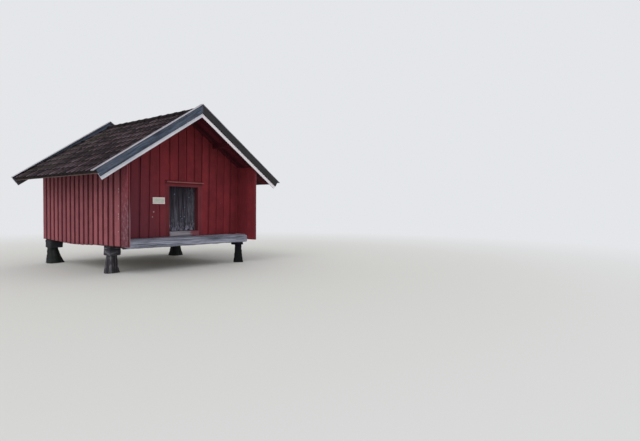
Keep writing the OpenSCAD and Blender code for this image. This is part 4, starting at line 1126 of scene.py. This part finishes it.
class GRANARY_OT_base(bpy.types.Operator):
    """The grey porch beam, the threshold, the sills, the floor and the log walls"""
    bl_idname = "granary.base"
    bl_label = "Base and logs"

    def execute(self, context):
        beam = prop("beam")
        (x0, y0, z0), (x1, y1, z1) = box("porch_beam")
        brow = [(y0 + beam.brow_y * (1 - math.sin(t)), z1 - beam.brow_z * (1 - math.cos(t)))
                for t in np.linspace(0, math.pi / 2, 14)]
        outline = brow + [(y0, z0 + beam.foot), (y0 + beam.foot, z0), (y0 + beam.belly_w, z0 + beam.belly),
                          (y1, z0 + beam.belly), (y1, z1)]
        make("hewn_porch_beam", [hewn(outline, 0.008, x0, x1, 121, 26, 0.010, 260)],
             "hewn_silver_pine", ["porch_beam"], crease=50)
        (x0, y0, z0), (x1, y1, z1) = box("threshold")
        back = LOG_FRONT_Y + 0.012
        lip = [(y0, z0 + 0.012), (y0 + 0.010, z0), (back, z0), (back, z1), (y0 + 0.030, z1),
               (y0 + 0.008, z1 - 0.012)]
        log = [(back, z0), (y1, z0), (y1, z1), (back, z1)]
        make("hewn_threshold", [
            hewn(lip, 0.010, HOLE_LOW[0] + JAMB, HOLE_HIGH[0] - JAMB, 122, 6, 0.007, 120),
            hewn(log, 0.030, x0, x1, 123, 2, 0.004, 60),
        ], "trodden_pine", ["threshold"], crease=50)
        low, high = box("floor")
        spans = spread(low[1], high[1], prop("walls").floor_w, GAP)
        boards = planks(UP, RIGHT, spans, low[2], high[2] - low[2], low[0], high[0], 124)
        make("floor_planks", [boards], "floor_pine", ["floor"])
        for surface, nodes in (
            ("log_pine_y", ("left_wall", "right_wall", "side_sills")),
            ("log_pine_x", ("rear_wall", "rear_gable", "front_wall_left", "front_wall_right", "front_gable",
                            "cross_sills", "floor_joists")),
        ):
            for node in nodes:
                plain(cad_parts[node].data, surface)
        return {"FINISHED"}


# Door and nails
class GRANARY_OT_door(bpy.types.Operator):
    """The plank door with its ledges and straps, and the hooks that it hangs on"""
    bl_idname = "granary.door"
    bl_label = "Door"

    def execute(self, context):
        low, high = box("door_leaf")
        widths = np.array([0.22, 0.19, 0.21, 0.17, 0.21])
        edges = low[0] + np.concatenate([[0], np.cumsum(widths)]) * (high[0] - low[0]) / widths.sum()
        spans = [(a + GAP / 2, b - GAP / 2) for a, b in zip(edges, edges[1:])]
        leaf = planks(FRONT, UP, spans, -high[1], high[1] - low[1], low[2], high[2], 131, bevel=0.004,
                      warp=0.001, steps=15)
        make("door_planks", [leaf], "door_pine", ["door_leaf"], body="door")
        dressed("door_ledges", 0, 0.003, "ledges", "door_pine", body="door")
        dressed("hinge_straps", 0, 0.0, "straps", "forged_iron", body="door")
        dressed("hinge_hooks", 2, 0.0, "hooks", "forged_iron")
        return {"FINISHED"}


class GRANARY_OT_nails(bpy.types.Operator):
    """Rows of forged nails that hold the over boards"""
    bl_idname = "granary.nails"
    bl_label = "Nails"

    def execute(self, context):
        walls = prop("walls")
        rng = np.random.default_rng(141)
        heights = (SKIRT_Z + 0.09, 1.42, 2.08, 2.66)
        # No nails where the doorway and its casings are
        door_l, door_r = -0.60, 0.66
        spots, ways = [], []
        for side in (-1, 1):
            for a, b in [*side_spans()[0], (FRONT_Y, FRONT_Y + walls.corner_w)]:
                spots += [(side * SIDE_X, y, z) for y in (a + 0.032, b - 0.032) for z in heights]
            ways += [(side, 0, 0)] * (len(spots) - len(ways))
        for y, way, pitch, width, middle, reach in (
            (REAR_Y, BACK, walls.side_pitch, walls.side_over, 0.0, LOG_X),
            (FACE_Y, FRONT, walls.front_pitch, walls.front_over, 0.09, LINING_X),
        ):
            for a, b in laps(middle, pitch, width, reach)[0]:
                if max(abs(a), abs(b)) < reach - 0.05 and (way == BACK or b < door_l or a > door_r):
                    spots += [(x, y, z + 0.06) for x in (a + 0.035, b - 0.035) for z in heights]
            ways += [way] * (len(spots) - len(ways))
        spots = np.array(spots) + rng.normal(0, 0.004, (len(spots), 3)) * (np.abs(ways) < 0.5)
        ways = np.array(ways, float)
        across = np.cross(UP, ways)
        turn = round_turn(8)[None, None, :, None]
        # A head is a low dome: rings that shrink as they rise out of the wood
        radius = np.array([0.0065, 0.0062, 0.0030])[None, :, None, None]
        rise = np.array([-0.006, -0.0015, 0.0002])[None, :, None, None]
        points = spots[:, None, None] + rise * ways[:, None, None] + radius * (
            np.cos(turn) * across[:, None, None] + np.sin(turn) * np.array(UP))
        make("nail_heads", [Skin(points, np.zeros_like(points), np.zeros(points.shape[:3]))],
             "forged_iron")
        return {"FINISHED"}


# Stage
class GRANARY_OT_stage(bpy.types.Operator):
    """Pale floor, soft light and the photographer's camera"""
    bl_idname = "granary.stage"
    bl_label = "Stage"

    def execute(self, context):
        stage, scene = prop("stage"), context.scene
        reach = 120.0
        mesh = bpy.data.meshes.new("stage_floor")
        mesh.from_pydata([(-reach, -reach, 0), (reach, -reach, 0), (reach, reach, 0), (-reach, reach, 0)], [],
                         [(0, 1, 2, 3)])
        linked("stage_floor", mesh)
        # Matt floor that turns into the backdrop's colour with the distance, so that no horizon shows
        made, tree, patterns = new_surface("pale_stage", False)
        shader = tree.nodes["Principled BSDF"]
        shader.inputs["Base Color"].default_value = ink("floor")
        shader.inputs["Roughness"].default_value = 0.95
        far = add(tree, "ShaderNodeVectorMath", {0: patterns["place"]}, out=1, operation="LENGTH")
        far = add(tree, "ShaderNodeMapRange", {
            "Value": far, "From Min": stage.fade[0], "From Max": stage.fade[1],
        }, interpolation_type="SMOOTHSTEP")
        seen = add(tree, "ShaderNodeLightPath", out=0)
        share = add(tree, "ShaderNodeMath", {0: far, 1: seen}, operation="MULTIPLY")
        glow = add(tree, "ShaderNodeEmission", {"Color": ink("backdrop"), "Strength": 1.0})
        both = add(tree, "ShaderNodeMixShader", {0: share, 1: shader.outputs[0], 2: glow})
        tree.links.new(both, tree.nodes["Material Output"].inputs["Surface"])
        mesh.materials.append(made)

        world = bpy.data.worlds.new("soft_sky")
        scene.world = world
        world.use_nodes = True
        tree = world.node_tree
        seen = add(tree, "ShaderNodeLightPath", out=0)
        light = add(tree, "ShaderNodeBackground", {"Color": (1, 1, 1, 1), "Strength": stage.sky})
        shown = add(tree, "ShaderNodeBackground", {"Color": ink("backdrop"), "Strength": 1.0})
        both = add(tree, "ShaderNodeMixShader", {0: seen, 1: light, 2: shown})
        tree.links.new(both, tree.nodes["World Output"].inputs["Surface"])

        sun = bpy.data.lights.new("soft_key", "SUN")
        sun.energy, sun.angle = stage.sun, math.radians(50)
        linked("soft_key", sun).rotation_euler = (math.radians(52), 0, math.radians(-72))

        yaw, pitch, roll = (Matrix.Rotation(turn, 4, axis) for turn, axis in zip(stage.turn, "ZXZ"))
        lens = bpy.data.cameras.new("photographer")
        lens.sensor_width, lens.lens, lens.clip_end = 36, stage.lens, 500
        scene.camera = linked("photographer", lens)
        upright = Matrix.Rotation(math.pi / 2, 4, "X")
        scene.camera.matrix_world = Matrix.Translation(stage.place) @ yaw @ pitch @ upright @ roll
        scene.view_settings.view_transform = "Standard"
        return {"FINISHED"}


OPERATORS = (
    GRANARY_OT_stage, GRANARY_OT_side_walls, GRANARY_OT_end_walls, GRANARY_OT_doorway, GRANARY_OT_roof_boards,
    GRANARY_OT_tiles, GRANARY_OT_verges, GRANARY_OT_posts, GRANARY_OT_base, GRANARY_OT_door, GRANARY_OT_nails,
)


class GRANARY_PT_panel(bpy.types.Panel):
    """Lists the steps and the sizes of the granary"""
    bl_idname = "GRANARY_PT_panel"
    bl_label = "Raised granary"
    bl_space_type = "VIEW_3D"
    bl_region_type = "UI"
    bl_category = "Granary"

    def draw(self, context):
        for operator in OPERATORS:
            self.layout.operator(operator.bl_idname)
        for name, group in GROUPS.items():
            area = self.layout.box()
            for key in group.__annotations__:
                area.prop(getattr(context.scene, name), key)


def register():
    for name, group in GROUPS.items():
        bpy.utils.register_class(group)
        setattr(bpy.types.Scene, name, PointerProperty(type=group))
    for made in (*OPERATORS, GRANARY_PT_panel):
        bpy.utils.register_class(made)


def unregister():
    for made in (GRANARY_PT_panel, *reversed(OPERATORS)):
        bpy.utils.unregister_class(made)
    for name, group in reversed(GROUPS.items()):
        delattr(bpy.types.Scene, name)
        bpy.utils.unregister_class(group)


def main():
    """Registers the add-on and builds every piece."""
    register()
    for operator in OPERATORS:
        getattr(bpy.ops.granary, operator.bl_idname.split(".")[1])()


if __name__ == "__main__":
    main()
